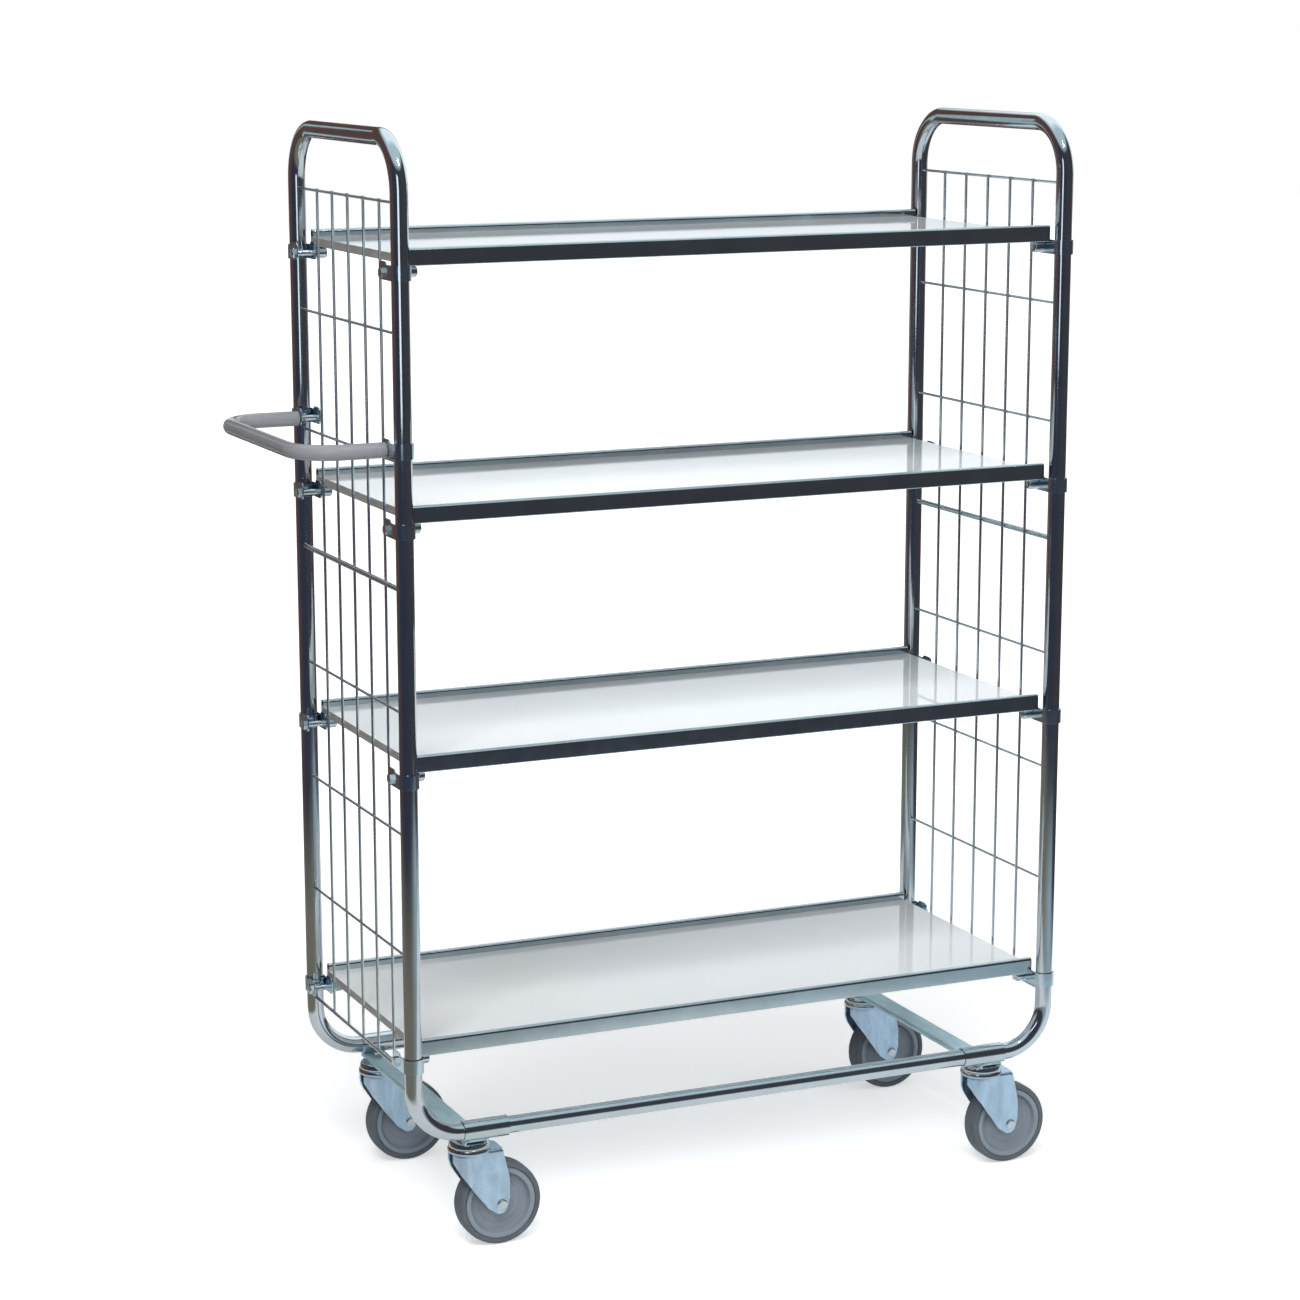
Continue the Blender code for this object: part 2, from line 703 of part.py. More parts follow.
# Side view of a cheek: shares of the trail along x, and of the plate's height over the axle in z
CHEEK_LOW_SHARES = [
    (-0.80, 0.99), (-0.47, 0.63), (-0.05, 0.307), (0.494, -0.048), (0.847, -0.168),
    (1.06, -0.160), (1.20, -0.08), (1.282, 0.15),
]
CHEEK_HIGH_SHARES = [(-0.80, 1.0), (1.06, 1.0), (1.20, 0.68), (1.282, 0.44)]
CHEEK_BROAD_END_SHARE = 0.05
CHEEK_STOP_SHARES = (0.494, 0.847, 1.06, 1.20, 1.282)


def cheek_plan():
    """Plan of one cheek's middle line, from the front of the race round to the rear edge."""
    radius = RACE_D / 2 - CHEEK_T
    broad = RACE_D / 2 - CHEEK_FRONT_INSET - CHEEK_T / 2
    flat = CHEEK_OUT - CHEEK_T / 2
    start = math.pi - math.asin(FORK_FRONT_GAP / 2 / radius)
    stop = math.pi - math.asin(broad / radius)
    points = []
    for i in range(FORK_FRONT_STEPS + 1):
        angle = start + (stop - start) * i / FORK_FRONT_STEPS
        points.append((radius * math.cos(angle), radius * math.sin(angle)))
    points.append((CHEEK_BROAD_END_SHARE * TRAIL, broad))
    points += [(share * TRAIL, flat) for share in CHEEK_STOP_SHARES]
    return points


def along(shares, x):
    """Height share at a share of the trail, read from straight runs between the points."""
    for (x0, z0), (x1, z1) in zip(shares, shares[1:]):
        if x <= x1:
            t = max(0.0, (x - x0) / (x1 - x0))
            return z0 + (z1 - z0) * t
    return shares[-1][1]


def fork_mesh():
    """Pressed fork: round plate with a rear tab, a raised race, and two tapered cheeks."""
    drop = PLATE_TOP_Z - PLATE_T / 2 - WHEEL_R
    lower = []
    upper = []
    for x, y in cheek_plan():
        low = WHEEL_R + drop * along(CHEEK_LOW_SHARES, x / TRAIL)
        high = WHEEL_R + drop * along(CHEEK_HIGH_SHARES, x / TRAIL)
        lower.append((x, y, low))
        upper.append((x, y, high))
    cheek = sheet(lower, upper, CHEEK_T)
    other = cheek.copy()
    other.transform(Matrix.Diagonal((1, -1, 1, 1)))
    other.flip_normals()
    rim = RACE_D / 2 + RACE_OVERHANG
    sweep = math.asin(CHEEK_OUT / rim)
    turn = math.tau - 2 * sweep
    corner = TAB_CORNER_R
    plate_points = []
    for i in range(CUP_STEPS + 1):
        angle = sweep + turn * i / CUP_STEPS
        plate_points.append((rim * math.cos(angle), rim * math.sin(angle)))
    for side in (-1, 1):
        corner_points = []
        for i in range(CORNER_STEPS + 1):
            angle = QUARTER * i / CORNER_STEPS
            x = FORK_REAR - corner + corner * math.sin(angle)
            y = side * (CHEEK_OUT - corner + corner * math.cos(angle))
            corner_points.append((x, y))
        plate_points += corner_points if side < 0 else reversed(corner_points)
    plate = outline(plate_points, PLATE_T)
    plate.transform(Matrix.Translation((0, 0, PLATE_TOP_Z - PLATE_T / 2)))
    bore = KING_D / 2 + KING_BORE_CLEARANCE
    race_r = RACE_D / 2
    profile = [
        (0, RACE_TOP_Z),
        (race_r - RACE_T / 2, RACE_TOP_Z),
        (race_r, RACE_TOP_Z - RACE_T / 2),
        (race_r, PLATE_TOP_Z - PLATE_T / 2),
        (0, PLATE_TOP_Z - PLATE_T / 2),
    ]
    race = turned(profile, CUP_STEPS)
    body = combine(plate, [race, cheek, other], "UNION")
    depth = RACE_H + PLATE_T + 2 * OVERRUN
    hole = prism(KING_SIDES, bore, depth, "Z", (0, 0, (RACE_TOP_Z + PLATE_LOW_Z) / 2))
    axle_length = 2 * (CHEEK_OUT + OVERRUN)
    axle = prism(AXLE_SIDES, AXLE_D / 2 + GAP, axle_length, "Y", (TRAIL, 0, WHEEL_R))
    return combine(body, [hole, axle], "DIFFERENCE")


def rim_mesh():
    """Plastic wheel centre: rim ring, dished disc and hub, turned about Z."""
    bore = SPACER_D / 2 + GAP
    r = WHEEL_R - TYRE_SECTION - GAP
    half = TYRE_W / 2 - RIM_SIDE_INSET
    ring = r - RIM_RING_W
    hub_r = HUB_D / 2
    hub_half = CHEEK_IN - HUB_SIDE_CLEARANCE
    disc = RIM_DISC_T / 2
    upper = [
        (bore, hub_half),
        (hub_r, hub_half),
        (ring, disc),
        (ring, half),
        (r, half),
    ]
    lower = [(radius, -z) for radius, z in reversed(upper)]
    return turned(upper + lower, WHEEL_STEPS, closed=True)


def tyre_mesh():
    """Rubber tyre with a slightly crowned tread."""
    inner = WHEEL_R - TYRE_SECTION
    half = TYRE_W / 2
    side = half - RIM_SIDE_INSET
    shoulder = WHEEL_R - TYRE_CROWN
    upper = [
        (inner, side),
        (inner + TYRE_SECTION / 2, half),
        (shoulder, half - TYRE_CROWN),
        (WHEEL_R, half / 2),
    ]
    lower = [(radius, -z) for radius, z in reversed(upper)]
    return turned(upper + lower, WHEEL_STEPS, closed=True)


def axle_mesh():
    """Axle bolt with a round head, a nut and the spacer pressed round its middle."""
    face = CHEEK_OUT + GAP
    head = prism(AXLE_SIDES, AXLE_HEAD_D / 2, AXLE_HEAD_T, "Y", (0, -face - AXLE_HEAD_T / 2, 0))
    nut = prism(6, hex_radius(AXLE_NUT_AF), AXLE_NUT_T, "Y", (0, face + AXLE_NUT_T / 2, 0))
    start = -face - AXLE_HEAD_T / 2
    end = face + AXLE_NUT_T + AXLE_HEAD_T / 2
    shank = prism(AXLE_SIDES, AXLE_D / 2, end - start, "Y", (0, (start + end) / 2, 0))
    spacer = prism(AXLE_SIDES, SPACER_D / 2, 2 * (CHEEK_IN - GAP), "Y")
    return combine(shank, [head, nut, spacer], "UNION")


def build_casters():
    head = head_mesh()
    fork = fork_mesh()
    rim = rim_mesh()
    tyre = tyre_mesh()
    axle_bolt = axle_mesh()
    lay = Matrix.Rotation(QUARTER, 4, "X")
    rim.transform(lay)
    tyre.transform(lay)
    for end_name, sx in (("left", -1), ("right", 1)):
        for side_name, sy in (("front", -1), ("back", 1)):
            place = side_name + "_" + end_name
            spot = (sx * SWIVEL_X, sy * SWIVEL_Y, 0)
            solid("caster_head_" + place, head, "bright_zinc", spot)
            swivel = empty("swivel_" + place, spot)
            solid("fork_" + place, fork, "matte_zinc", parent=swivel)
            axle_place = (TRAIL, 0, WHEEL_R)
            solid("axle_bolt_" + place, axle_bolt, "bright_zinc", axle_place, parent=swivel)
            axle = empty("axle_" + place, axle_place, swivel)
            solid("wheel_rim_" + place, rim, "grey_plastic", parent=axle)
            solid("tyre_" + place, tyre, "grey_tyre", parent=axle)


build_hoops()
build_base()
build_grids()
build_shelves()
build_clamps()
build_handle()
build_casters()
for placed in PARTS.objects:
    if placed.parent is None:
        placed.location.x += ORIGIN_X
bpy.context.view_layer.update()
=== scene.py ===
"""Looks of the shelf trolley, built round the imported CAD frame. Metres, +Z up."""

import math

import bmesh
import bpy
from mathutils import Matrix, Vector


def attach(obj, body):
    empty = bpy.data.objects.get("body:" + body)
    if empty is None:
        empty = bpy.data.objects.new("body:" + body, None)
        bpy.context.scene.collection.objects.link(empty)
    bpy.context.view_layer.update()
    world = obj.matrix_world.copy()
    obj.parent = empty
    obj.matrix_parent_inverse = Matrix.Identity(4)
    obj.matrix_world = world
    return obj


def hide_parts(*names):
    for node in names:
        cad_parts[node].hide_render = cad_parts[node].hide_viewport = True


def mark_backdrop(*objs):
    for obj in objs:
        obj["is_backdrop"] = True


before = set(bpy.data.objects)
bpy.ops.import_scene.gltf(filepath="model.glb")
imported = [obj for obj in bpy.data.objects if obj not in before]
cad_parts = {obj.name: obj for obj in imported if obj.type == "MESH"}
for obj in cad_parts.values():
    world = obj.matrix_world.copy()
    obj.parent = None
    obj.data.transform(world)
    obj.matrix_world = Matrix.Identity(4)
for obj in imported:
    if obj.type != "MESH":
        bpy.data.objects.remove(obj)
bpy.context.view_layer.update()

# Sizes, as in the part's source
OX = 0.0624742
GAP = 0.0003
HEIGHT = 1.590
POST_X, POST_Y = 0.5125, 0.216
TUBE_R = 0.0125
TOP_BEND_R, LOW_BEND_R = 0.074, 0.070
SLEEVE_R, SLEEVE_L, SLEEVE_WALL, SLEEVE_SETBACK = 0.015, 0.069, 0.0021, 0.002
SLEEVE_X = POST_X - LOW_BEND_R - SLEEVE_L / 2 - SLEEVE_SETBACK
CASTER_H = 0.162
CHANNEL_W, CHANNEL_H, CHANNEL_T, CHANNEL_BEND_R = 0.036, 0.007, 0.0025, 0.0035
CHANNEL_TOP_Z = CASTER_H + GAP + CHANNEL_H
CHANNEL_OVERHANG, WELD_SINK = 0.006, 0.0008
CHANNEL_REACH = POST_Y + CHANNEL_OVERHANG
BASE_Z = CHANNEL_TOP_Z - WELD_SINK + SLEEVE_R
GRID_TOP_Z, GRID_PITCH, GRID_ROWS, ROD_ROW = 1.492, 0.1744, 8, 3
WIRE_R, LOW_ROW_R, ROD_R = 0.002, 0.0025, 0.004
UPRIGHTS, UPRIGHT_PITCH, UPRIGHT_INSET = 5, 0.0654, 0.0021
SHELF_ZS = [1.4077, 1.0589, 0.7101, 0.2992]
RAIL_Y, RAIL_T, RAIL_H, RAIL_FLANGE = 0.207, 0.001, 0.0245, 0.026
RAIL_CORNER_R, HEM_R = 0.0010, 0.0044
BOARD_T, BOARD_REBATE, FACE_T, FACE_MARGIN = 0.012, 0.0005, 0.0012, 0.0108
STRAP_IN_R = (TUBE_R + GAP) / math.cos(math.pi / 12)
STRAP_T = 0.0018
EAR_OUT = STRAP_IN_R + STRAP_T
SHELF_CLEARANCE = 0.0015
SHELF_HALF = POST_X - EAR_OUT - SHELF_CLEARANCE
STRAP_LOW, COLLAR_HIGH, EAR_HIGH, EAR_REACH = 0.0095, 0.0113, 0.0155, 0.040
EAR_CORNER_R, EAR_NECK, COLLAR_START, COLLAR_RUN = 0.006, 0.022, 0.0175, 0.0045
SADDLE_T, SADDLE_H = 0.0016, 0.018
BOLT_R, BOLT_REACH, HEAD_AF, HEAD_T = 0.004, 0.028, 0.013, 0.0048
PIN_R, PIN_L = 0.008, 0.019
HANDLE_R, HANDLE_Z, HANDLE_REACH, HANDLE_BEND_R = 0.011, 1.160, 0.1335, 0.060
SWIVEL_X, SWIVEL_Y, TRAIL = 0.4205, 0.191001, 0.0425
WHEEL_R, TYRE_W, TYRE_SECTION = 0.0625, 0.032, 0.009
CUP_H, CUP_WALL, RACE_R, RACE_H, RACE_BORE_R = 0.009, 0.0025, 0.03175, 0.0055, 0.0075
CUP_LOW_Z = CASTER_H - CUP_H
RACE_TOP_Z = CUP_LOW_Z - GAP
PLATE_T, PLATE_R, PLATE_REAR, PLATE_CORNER_R = 0.003, 0.03125, 0.0452, 0.008
PLATE_TOP_Z = RACE_TOP_Z - RACE_H
PLATE_LOW_Z = PLATE_TOP_Z - PLATE_T
CHEEK_CLEARANCE, CHEEK_T, CHEEK_BEND_R = 0.0025, 0.0025, 0.0035
CHEEK_IN = TYRE_W / 2 + CHEEK_CLEARANCE
CHEEK_OUT = CHEEK_IN + CHEEK_T
CHEEK_FRONT, CHEEK_BROAD = 0.009, 0.0275
KING_R, KING_AF, KING_NUT_T, KING_HEAD_T = 0.005, 0.016, 0.007, 0.006
AXLE_R, AXLE_HEAD_R, AXLE_HEAD_T = 0.004, 0.0074, 0.0030
AXLE_NUT_AF, AXLE_NUT_T, AXLE_END, SPACER_R = 0.013, 0.0055, 0.0014, 0.006

ENDS = (("left", -1), ("right", 1))
SIDES = (("front", -1), ("back", 1))
SIDE_X, SIDE_Y, UP = Vector((1, 0, 0)), Vector((0, 1, 0)), Vector((0, 0, 1))
QUARTER = math.pi / 2
MERGE = 0.00001
TO_X, TO_Y = Matrix.Rotation(QUARTER, 4, "Y"), Matrix.Rotation(-QUARTER, 4, "X")


# Materials

class Nodes:
    """Small helper that adds shader nodes and links them."""

    def __init__(self, name):
        self.material = bpy.data.materials.new(name)
        self.material.use_nodes = True
        self.tree = self.material.node_tree
        self.shader = self.tree.nodes["Principled BSDF"]
        self.place = self.add("ShaderNodeTexCoord").outputs["Object"]

    def add(self, kind, inputs=None, **settings):
        made = self.tree.nodes.new(kind)
        for key, value in settings.items():
            setattr(made, key, value)
        for key, value in (inputs or {}).items():
            socket = made.inputs[key]
            if isinstance(value, bpy.types.NodeSocket):
                self.tree.links.new(value, socket)
            else:
                socket.default_value = value
        return made

    def noise(self, scale, detail=3.0, stretch=(1, 1, 1), distortion=0.0):
        mapped = self.add("ShaderNodeMapping", {"Vector": self.place, "Scale": stretch})
        made = self.add("ShaderNodeTexNoise", {"Vector": mapped.outputs[0], "Scale": scale,
                                               "Detail": detail, "Distortion": distortion})
        return made.outputs["Fac"]

    def ramp(self, factor, stops):
        made = self.add("ShaderNodeValToRGB", {"Fac": factor})
        elements = made.color_ramp.elements
        while len(elements) < len(stops):
            elements.new(0.5)
        for element, (position, colour) in zip(elements, stops):
            element.position = position
            element.color = (*colour, 1)
        return made.outputs["Color"]

    def grey(self, factor, low, high, start=0.3, stop=0.7):
        made = self.add("ShaderNodeMapRange", {"Value": factor, "From Min": start, "From Max": stop,
                                               "To Min": low, "To Max": high})
        return made.outputs[0]

    def mix(self, factor, a, b):
        made = self.add("ShaderNodeMix", {"Factor": factor}, data_type="RGBA")
        for socket, value in ((made.inputs[6], a), (made.inputs[7], b)):
            if isinstance(value, bpy.types.NodeSocket):
                self.tree.links.new(value, socket)
            else:
                socket.default_value = (*value, 1)
        return made.outputs[2]

    def bump(self, height, strength, distance, under=None):
        inputs = {"Height": height, "Strength": strength, "Distance": distance}
        if under:
            inputs["Normal"] = under
        return self.add("ShaderNodeBump", inputs).outputs[0]

    def finish(self, colour, roughness, normal=None, **fixed):
        for name, value in (("Base Color", colour), ("Roughness", roughness), ("Normal", normal)):
            if value is None:
                continue
            socket = self.shader.inputs[name]
            if isinstance(value, bpy.types.NodeSocket):
                self.tree.links.new(value, socket)
            elif name == "Base Color":
                socket.default_value = (*value, 1)
            else:
                socket.default_value = value
        for name, value in fixed.items():
            self.shader.inputs[name.replace("_", " ")].default_value = value
        return self.material


def shade(colour, factor):
    return tuple(channel * factor for channel in colour)


def bright_metal(name, colour, rough, spread=0.10, haze=0.04, wave=0.02, metallic=1.0):
    """Bright zinc plate: soft clouds in tone and gloss, and a very fine pitting."""
    n = Nodes(name)
    clouds = n.noise(14.0, 4.0)
    dark, light = shade(colour, 1 - spread), shade(colour, 1 + spread * 0.5)
    tint = n.ramp(clouds, [(0.30, dark), (0.72, light)])
    gloss = n.grey(n.noise(42.0, 3.0), rough, rough + haze)
    fine = n.bump(n.noise(900.0, 2.0), 0.03, 0.0003)
    ripple = n.bump(n.noise(30.0, 1.0), wave, 0.002, fine)
    return n.finish(tint, gloss, ripple, Metallic=metallic)


def matte_metal(name, colour, rough, streak=(1, 1, 0.25), spread=0.22, metallic=1.0):
    """Matte zinc plate: mottled, with runs and small dark specks."""
    n = Nodes(name)
    mottle = n.noise(60.0, 6.0, streak, 0.6)
    dark, light = shade(colour, 1 - spread), shade(colour, 1 + spread * 0.55)
    tint = n.ramp(mottle, [(0.28, dark), (0.55, colour), (0.80, light)])
    specks = n.grey(n.noise(420.0, 2.0), 1.0, 0.0, 0.28, 0.36)
    tint = n.mix(specks, tint, shade(colour, 0.55))
    gloss = n.grey(n.noise(75.0, 4.0), rough - 0.07, rough + 0.09)
    bump = n.bump(n.noise(520.0, 3.0), 0.10, 0.0006)
    return n.finish(tint, gloss, bump, Metallic=metallic)


def plastic(name, colour, rough, grain=800.0, strength=0.12, spread=0.12, **fixed):
    """Moulded or coated surface: even colour with slight clouds and a fine grain."""
    n = Nodes(name)
    dark, light = shade(colour, 1 - spread), shade(colour, 1 + spread * 0.6)
    tint = n.ramp(n.noise(25.0, 4.0), [(0.30, dark), (0.70, light)])
    gloss = n.grey(n.noise(60.0, 3.0), rough - 0.05, rough + 0.07)
    bump = n.bump(n.noise(grain, 2.0), strength, 0.0005)
    return n.finish(tint, gloss, bump, **fixed)


def laminate_material():
    """Glossy white laminate with the faint ripple of its pressing plate."""
    n = Nodes("laminate_white")
    tint = n.ramp(n.noise(6.0, 3.0), [(0.30, (0.86, 0.90, 0.915)), (0.70, (0.885, 0.92, 0.93))])
    gloss = n.grey(n.noise(18.0, 3.0), 0.02, 0.05)
    fine = n.bump(n.noise(700.0, 2.0), 0.010, 0.0002)
    ripple = n.bump(n.noise(9.0, 1.0), 0.010, 0.003, fine)
    return n.finish(tint, gloss, ripple)


def edge_material():
    """Thin edge band on the boards' short ends, with faint fibres along the edge."""
    n = Nodes("board_edge_band")
    fibres = n.noise(90.0, 5.0, (1, 0.15, 1.6))
    tint = n.ramp(fibres, [(0.30, (0.270, 0.255, 0.238)), (0.70, (0.375, 0.360, 0.338))])
    return n.finish(tint, 0.55, n.bump(fibres, 0.2, 0.0006))


def tyre_material():
    """Grey rubber with dusty clouds in tone and gloss, and a fine grain."""
    n = Nodes("rubber_tyre_grey")
    dust = n.ramp(n.noise(30.0, 6.0), [(0.30, (0.078, 0.091, 0.106)), (0.72, (0.110, 0.127, 0.147))])
    gloss = n.grey(n.noise(45.0, 4.0), 0.50, 0.68)
    bump = n.bump(n.noise(650.0, 3.0), 0.18, 0.0006)
    return n.finish(dust, gloss, bump)


M = {
    "hoop_tube": bright_metal("zinc_tube", (0.60, 0.655, 0.69), 0.07),
    "base_tube": bright_metal("zinc_base_tube", (0.58, 0.65, 0.69), 0.10),
    "grid_wire": bright_metal("zinc_wire", (0.68, 0.77, 0.82), 0.12, metallic=0.96),
    "rail_sheet": bright_metal("zinc_sheet", (0.52, 0.60, 0.63), 0.10, wave=0.01),
    "base_channel": matte_metal("zinc_channel", (0.49, 0.69, 0.75), 0.40, (1, 0.3, 1), 0.16, 0.55),
    "clamp_steel": bright_metal("zinc_clamp", (0.58, 0.70, 0.78), 0.12, 0.10, 0.05, 0.03),
    "head_steel": bright_metal("zinc_race", (0.60, 0.66, 0.70), 0.15),
    "fork_steel": matte_metal("zinc_fork", (0.54, 0.71, 0.87), 0.40),
    "axle_steel": bright_metal("zinc_axle", (0.62, 0.68, 0.72), 0.18),
    "board_laminate": laminate_material(),
    "edge": edge_material(),
    "handle_coating": plastic("coated_handle", (0.240, 0.250, 0.262), 0.11, 700.0, 0.004, 0.02),
    "rim_plastic": plastic("moulded_rim", (0.215, 0.250, 0.292), 0.38, 650.0, 0.08, 0.08),
    "tyre_rubber": tyre_material(),
}


# Mesh helpers

def place(name, mesh, slot, body, node=None, matrix=None, material=None, smooth=35):
    """One shown piece: shaded, finished, riding on its body and standing for its CAD node."""
    obj = bpy.data.objects.new(name, mesh)
    bpy.context.scene.collection.objects.link(obj)
    if matrix is not None:
        mesh.transform(matrix)
        if matrix.determinant() < 0:
            mesh.flip_normals()
    if not mesh.materials:
        mesh.materials.append(material or M[slot])
    mesh.shade_smooth()
    mesh.set_sharp_from_angle(angle=math.radians(smooth))
    even = obj.modifiers.new("even", "WEIGHTED_NORMAL")
    even.keep_sharp = True
    if node:
        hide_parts(node)
    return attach(obj, body)


def baked(obj):
    """Evaluated mesh of a helper object, which is removed."""
    bpy.context.view_layer.update()
    graph = bpy.context.evaluated_depsgraph_get()
    mesh = bpy.data.meshes.new_from_object(obj.evaluated_get(graph))
    bpy.data.objects.remove(obj, do_unlink=True)
    mesh.materials.clear()
    return mesh


def helper(data):
    """Unseen object for modifiers to work on, until it is baked."""
    obj = bpy.data.objects.new("helper", data)
    bpy.context.scene.collection.objects.link(obj)
    return obj


def finished(bm, name):
    """Mesh made from the working copy, which is freed."""
    mesh = bpy.data.meshes.new(name)
    bm.to_mesh(mesh)
    bm.free()
    return mesh


def rounded(mesh, width, segments=2, angle=40, solid=0.0):
    """Optional wall, then rounded edges where faces meet sharply."""
    obj = helper(mesh)
    if solid:
        wall = obj.modifiers.new("wall", "SOLIDIFY")
        wall.thickness = solid
        wall.offset = 0.0
        wall.use_even_offset = True
    edge = obj.modifiers.new("edge", "BEVEL")
    edge.width = width
    edge.segments = segments
    edge.limit_method = "ANGLE"
    edge.angle_limit = math.radians(angle)
    edge.harden_normals = False
    return baked(obj)


def tube(points, radius, sides):
    """Round bar or capped tube along a line of points."""
    curve = bpy.data.curves.new("tube", "CURVE")
    curve.dimensions = "3D"
    curve.bevel_depth = radius
    curve.bevel_resolution = (sides - 4) // 2
    curve.use_fill_caps = True
    spline = curve.splines.new("POLY")
    spline.points.add(len(points) - 1)
    for point, co in zip(spline.points, points):
        point.co = (*co, 1.0)
    return baked(helper(curve))


def grid_mesh(rows, loop=False):
    """Quads between rows of points; loop joins each row's last point to its first."""
    bm = bmesh.new()
    made = [[bm.verts.new(p) for p in row] for row in rows]
    for a, b in zip(made, made[1:]):
        count = len(a)
        for i in range(count if loop else count - 1):
            j = (i + 1) % count
            bm.faces.new((a[i], a[j], b[j], b[i]))
    return finished(bm, "grid")


def turned(profile, steps, closed=False):
    """Profile of radius and height turned about Z; closed joins its last point to its first."""
    points = list(profile) + ([profile[0]] if closed else [])
    rows = []
    for r, z in points:
        rows.append([(r * math.cos(math.tau * i / steps), r * math.sin(math.tau * i / steps), z)
                     for i in range(steps)])
    bm = bmesh.new()
    bm.from_mesh(grid_mesh(rows, loop=True))
    bmesh.ops.remove_doubles(bm, verts=bm.verts, dist=MERGE)
    bmesh.ops.dissolve_degenerate(bm, edges=bm.edges, dist=MERGE)
    bmesh.ops.recalc_face_normals(bm, faces=bm.faces)
    return finished(bm, "turned")


def merged(*meshes):
    bm = bmesh.new()
    for mesh in meshes:
        bm.from_mesh(mesh)
    return finished(bm, "merged")


def moved(mesh, matrix):
    """Copy of a mesh in another place, with its normals outwards after a mirroring too."""
    out = mesh.copy()
    out.transform(matrix)
    if matrix.determinant() < 0:
        out.flip_normals()
    return out


def arc(centre, start, turn, radius, steps, side, up):
    """Points on a circle in the plane of side and up."""
    return [centre + radius * (math.cos(start + turn * i / steps) * side
                               + math.sin(start + turn * i / steps) * up) for i in range(steps + 1)]


def fillet(points, radius, steps=4):
    """2D outline with each inner corner rounded."""
    out = [points[0]]
    for before, corner, after in zip(points, points[1:], points[2:]):
        p, a, b = Vector(corner), Vector(before), Vector(after)
        u, v = (a - p), (b - p)
        reach = min(radius, u.length * 0.45, v.length * 0.45)
        start, stop = p + u.normalized() * reach, p + v.normalized() * reach
        for i in range(steps + 1):
            t = i / steps
            out.append(tuple((1 - t) ** 2 * start + 2 * t * (1 - t) * p + t * t * stop))
    out.append(points[-1])
    return out


def hex_bolt(across, height):
    """Hex head or nut with a turned chamfer, standing on Z = 0."""
    corner = across / 2 / math.cos(math.pi / 6)
    edge, skirt = 0.00016, -0.002
    bm = bmesh.new()
    bmesh.ops.create_cone(bm, cap_ends=True, segments=6, radius1=corner, radius2=corner, depth=height)
    bmesh.ops.translate(bm, vec=(0, 0, height / 2), verts=bm.verts)
    obj = helper(finished(bm, "hex"))
    wide = across / 2 + height
    cone = helper(turned([(0, height), (across / 2 - edge, height), (wide, height - (height + edge) * 0.55),
                          (wide, skirt), (0, skirt)], 48))
    cut = obj.modifiers.new("chamfer", "BOOLEAN")
    cut.operation = "INTERSECT"
    cut.solver = "EXACT"
    cut.object = cone
    mesh = baked(obj)
    bpy.data.objects.remove(cone, do_unlink=True)
    return mesh


# End hoops

def build_hoops():
    """End frames, each one bent tube, drawn from sleeve to top and mirrored."""
    rise, pieces = 0.108, 12
    for name, end in ENDS:
        px = OX + end * POST_X
        half = [Vector((OX + end * (SLEEVE_X + GAP), -POST_Y, BASE_Z))]
        low = Vector((px - end * LOW_BEND_R, -POST_Y, BASE_Z + LOW_BEND_R))
        half += arc(low, -QUARTER, QUARTER, LOW_BEND_R, 20, end * SIDE_X, UP)
        for i in range(1, pieces):
            half.append(Vector((px, -POST_Y, BASE_Z + LOW_BEND_R + i * rise)))
        top = Vector((px, -POST_Y + TOP_BEND_R, HEIGHT - TUBE_R - TOP_BEND_R))
        half += arc(top, 0, QUARTER, TOP_BEND_R, 20, -SIDE_Y, UP)
        path = half + [Vector((p.x, -p.y, p.z)) for p in reversed(half)]
        place("hoop_" + name, tube(path, TUBE_R, 40), "hoop_tube", "chassis", "end_hoop_" + name)


# Base frame

def build_base():
    """Base rails, cross channels, sleeves and the weld beads between them."""
    for name, side in SIDES:
        y = side * POST_Y
        rail = tube([(OX - SLEEVE_X, y, BASE_Z), (OX, y, BASE_Z), (OX + SLEEVE_X, y, BASE_Z)], TUBE_R, 40)
        place("base_tube_" + name, rail, "base_tube", "chassis", "base_rail_" + name)
    half_w = CHANNEL_W / 2 - CHANNEL_T / 2
    web = CHANNEL_TOP_Z - CHANNEL_T / 2
    low = CHANNEL_TOP_Z - CHANNEL_H
    section = fillet([(-half_w, low), (-half_w, web), (half_w, web), (half_w, low)], CHANNEL_BEND_R, 4)
    sleeve, bead = sleeve_mesh(), weld_bead(0.026, 0.0016, 9)
    bead_out, bead_up = 0.0058, 0.0007
    for name, end in ENDS:
        x = OX + end * SWIVEL_X
        rows = [[(x + u, y, w) for u, w in section] for y in (-CHANNEL_REACH, 0, CHANNEL_REACH)]
        channel = rounded(grid_mesh(rows), 0.0005, 2, 40, CHANNEL_T)
        place("channel_" + name, channel, "base_channel", "chassis", "cross_channel_" + name)
        for side_name, side in SIDES:
            y = side * POST_Y
            label = "%s_%s" % (side_name, name)
            matrix = Matrix.Translation((OX + end * SLEEVE_X, y, BASE_Z)) @ TO_X
            place("sleeve_" + label, sleeve.copy(), "base_tube", "chassis", matrix=matrix)
            for flank in (-1, 1):
                spot = Matrix.Translation((x, y + flank * bead_out, CHANNEL_TOP_Z + bead_up)) @ TO_X
                weld = "weld_base_%s_%d" % (label, flank + 2)
                place(weld, bead.copy(), "base_channel", "chassis", matrix=spot)


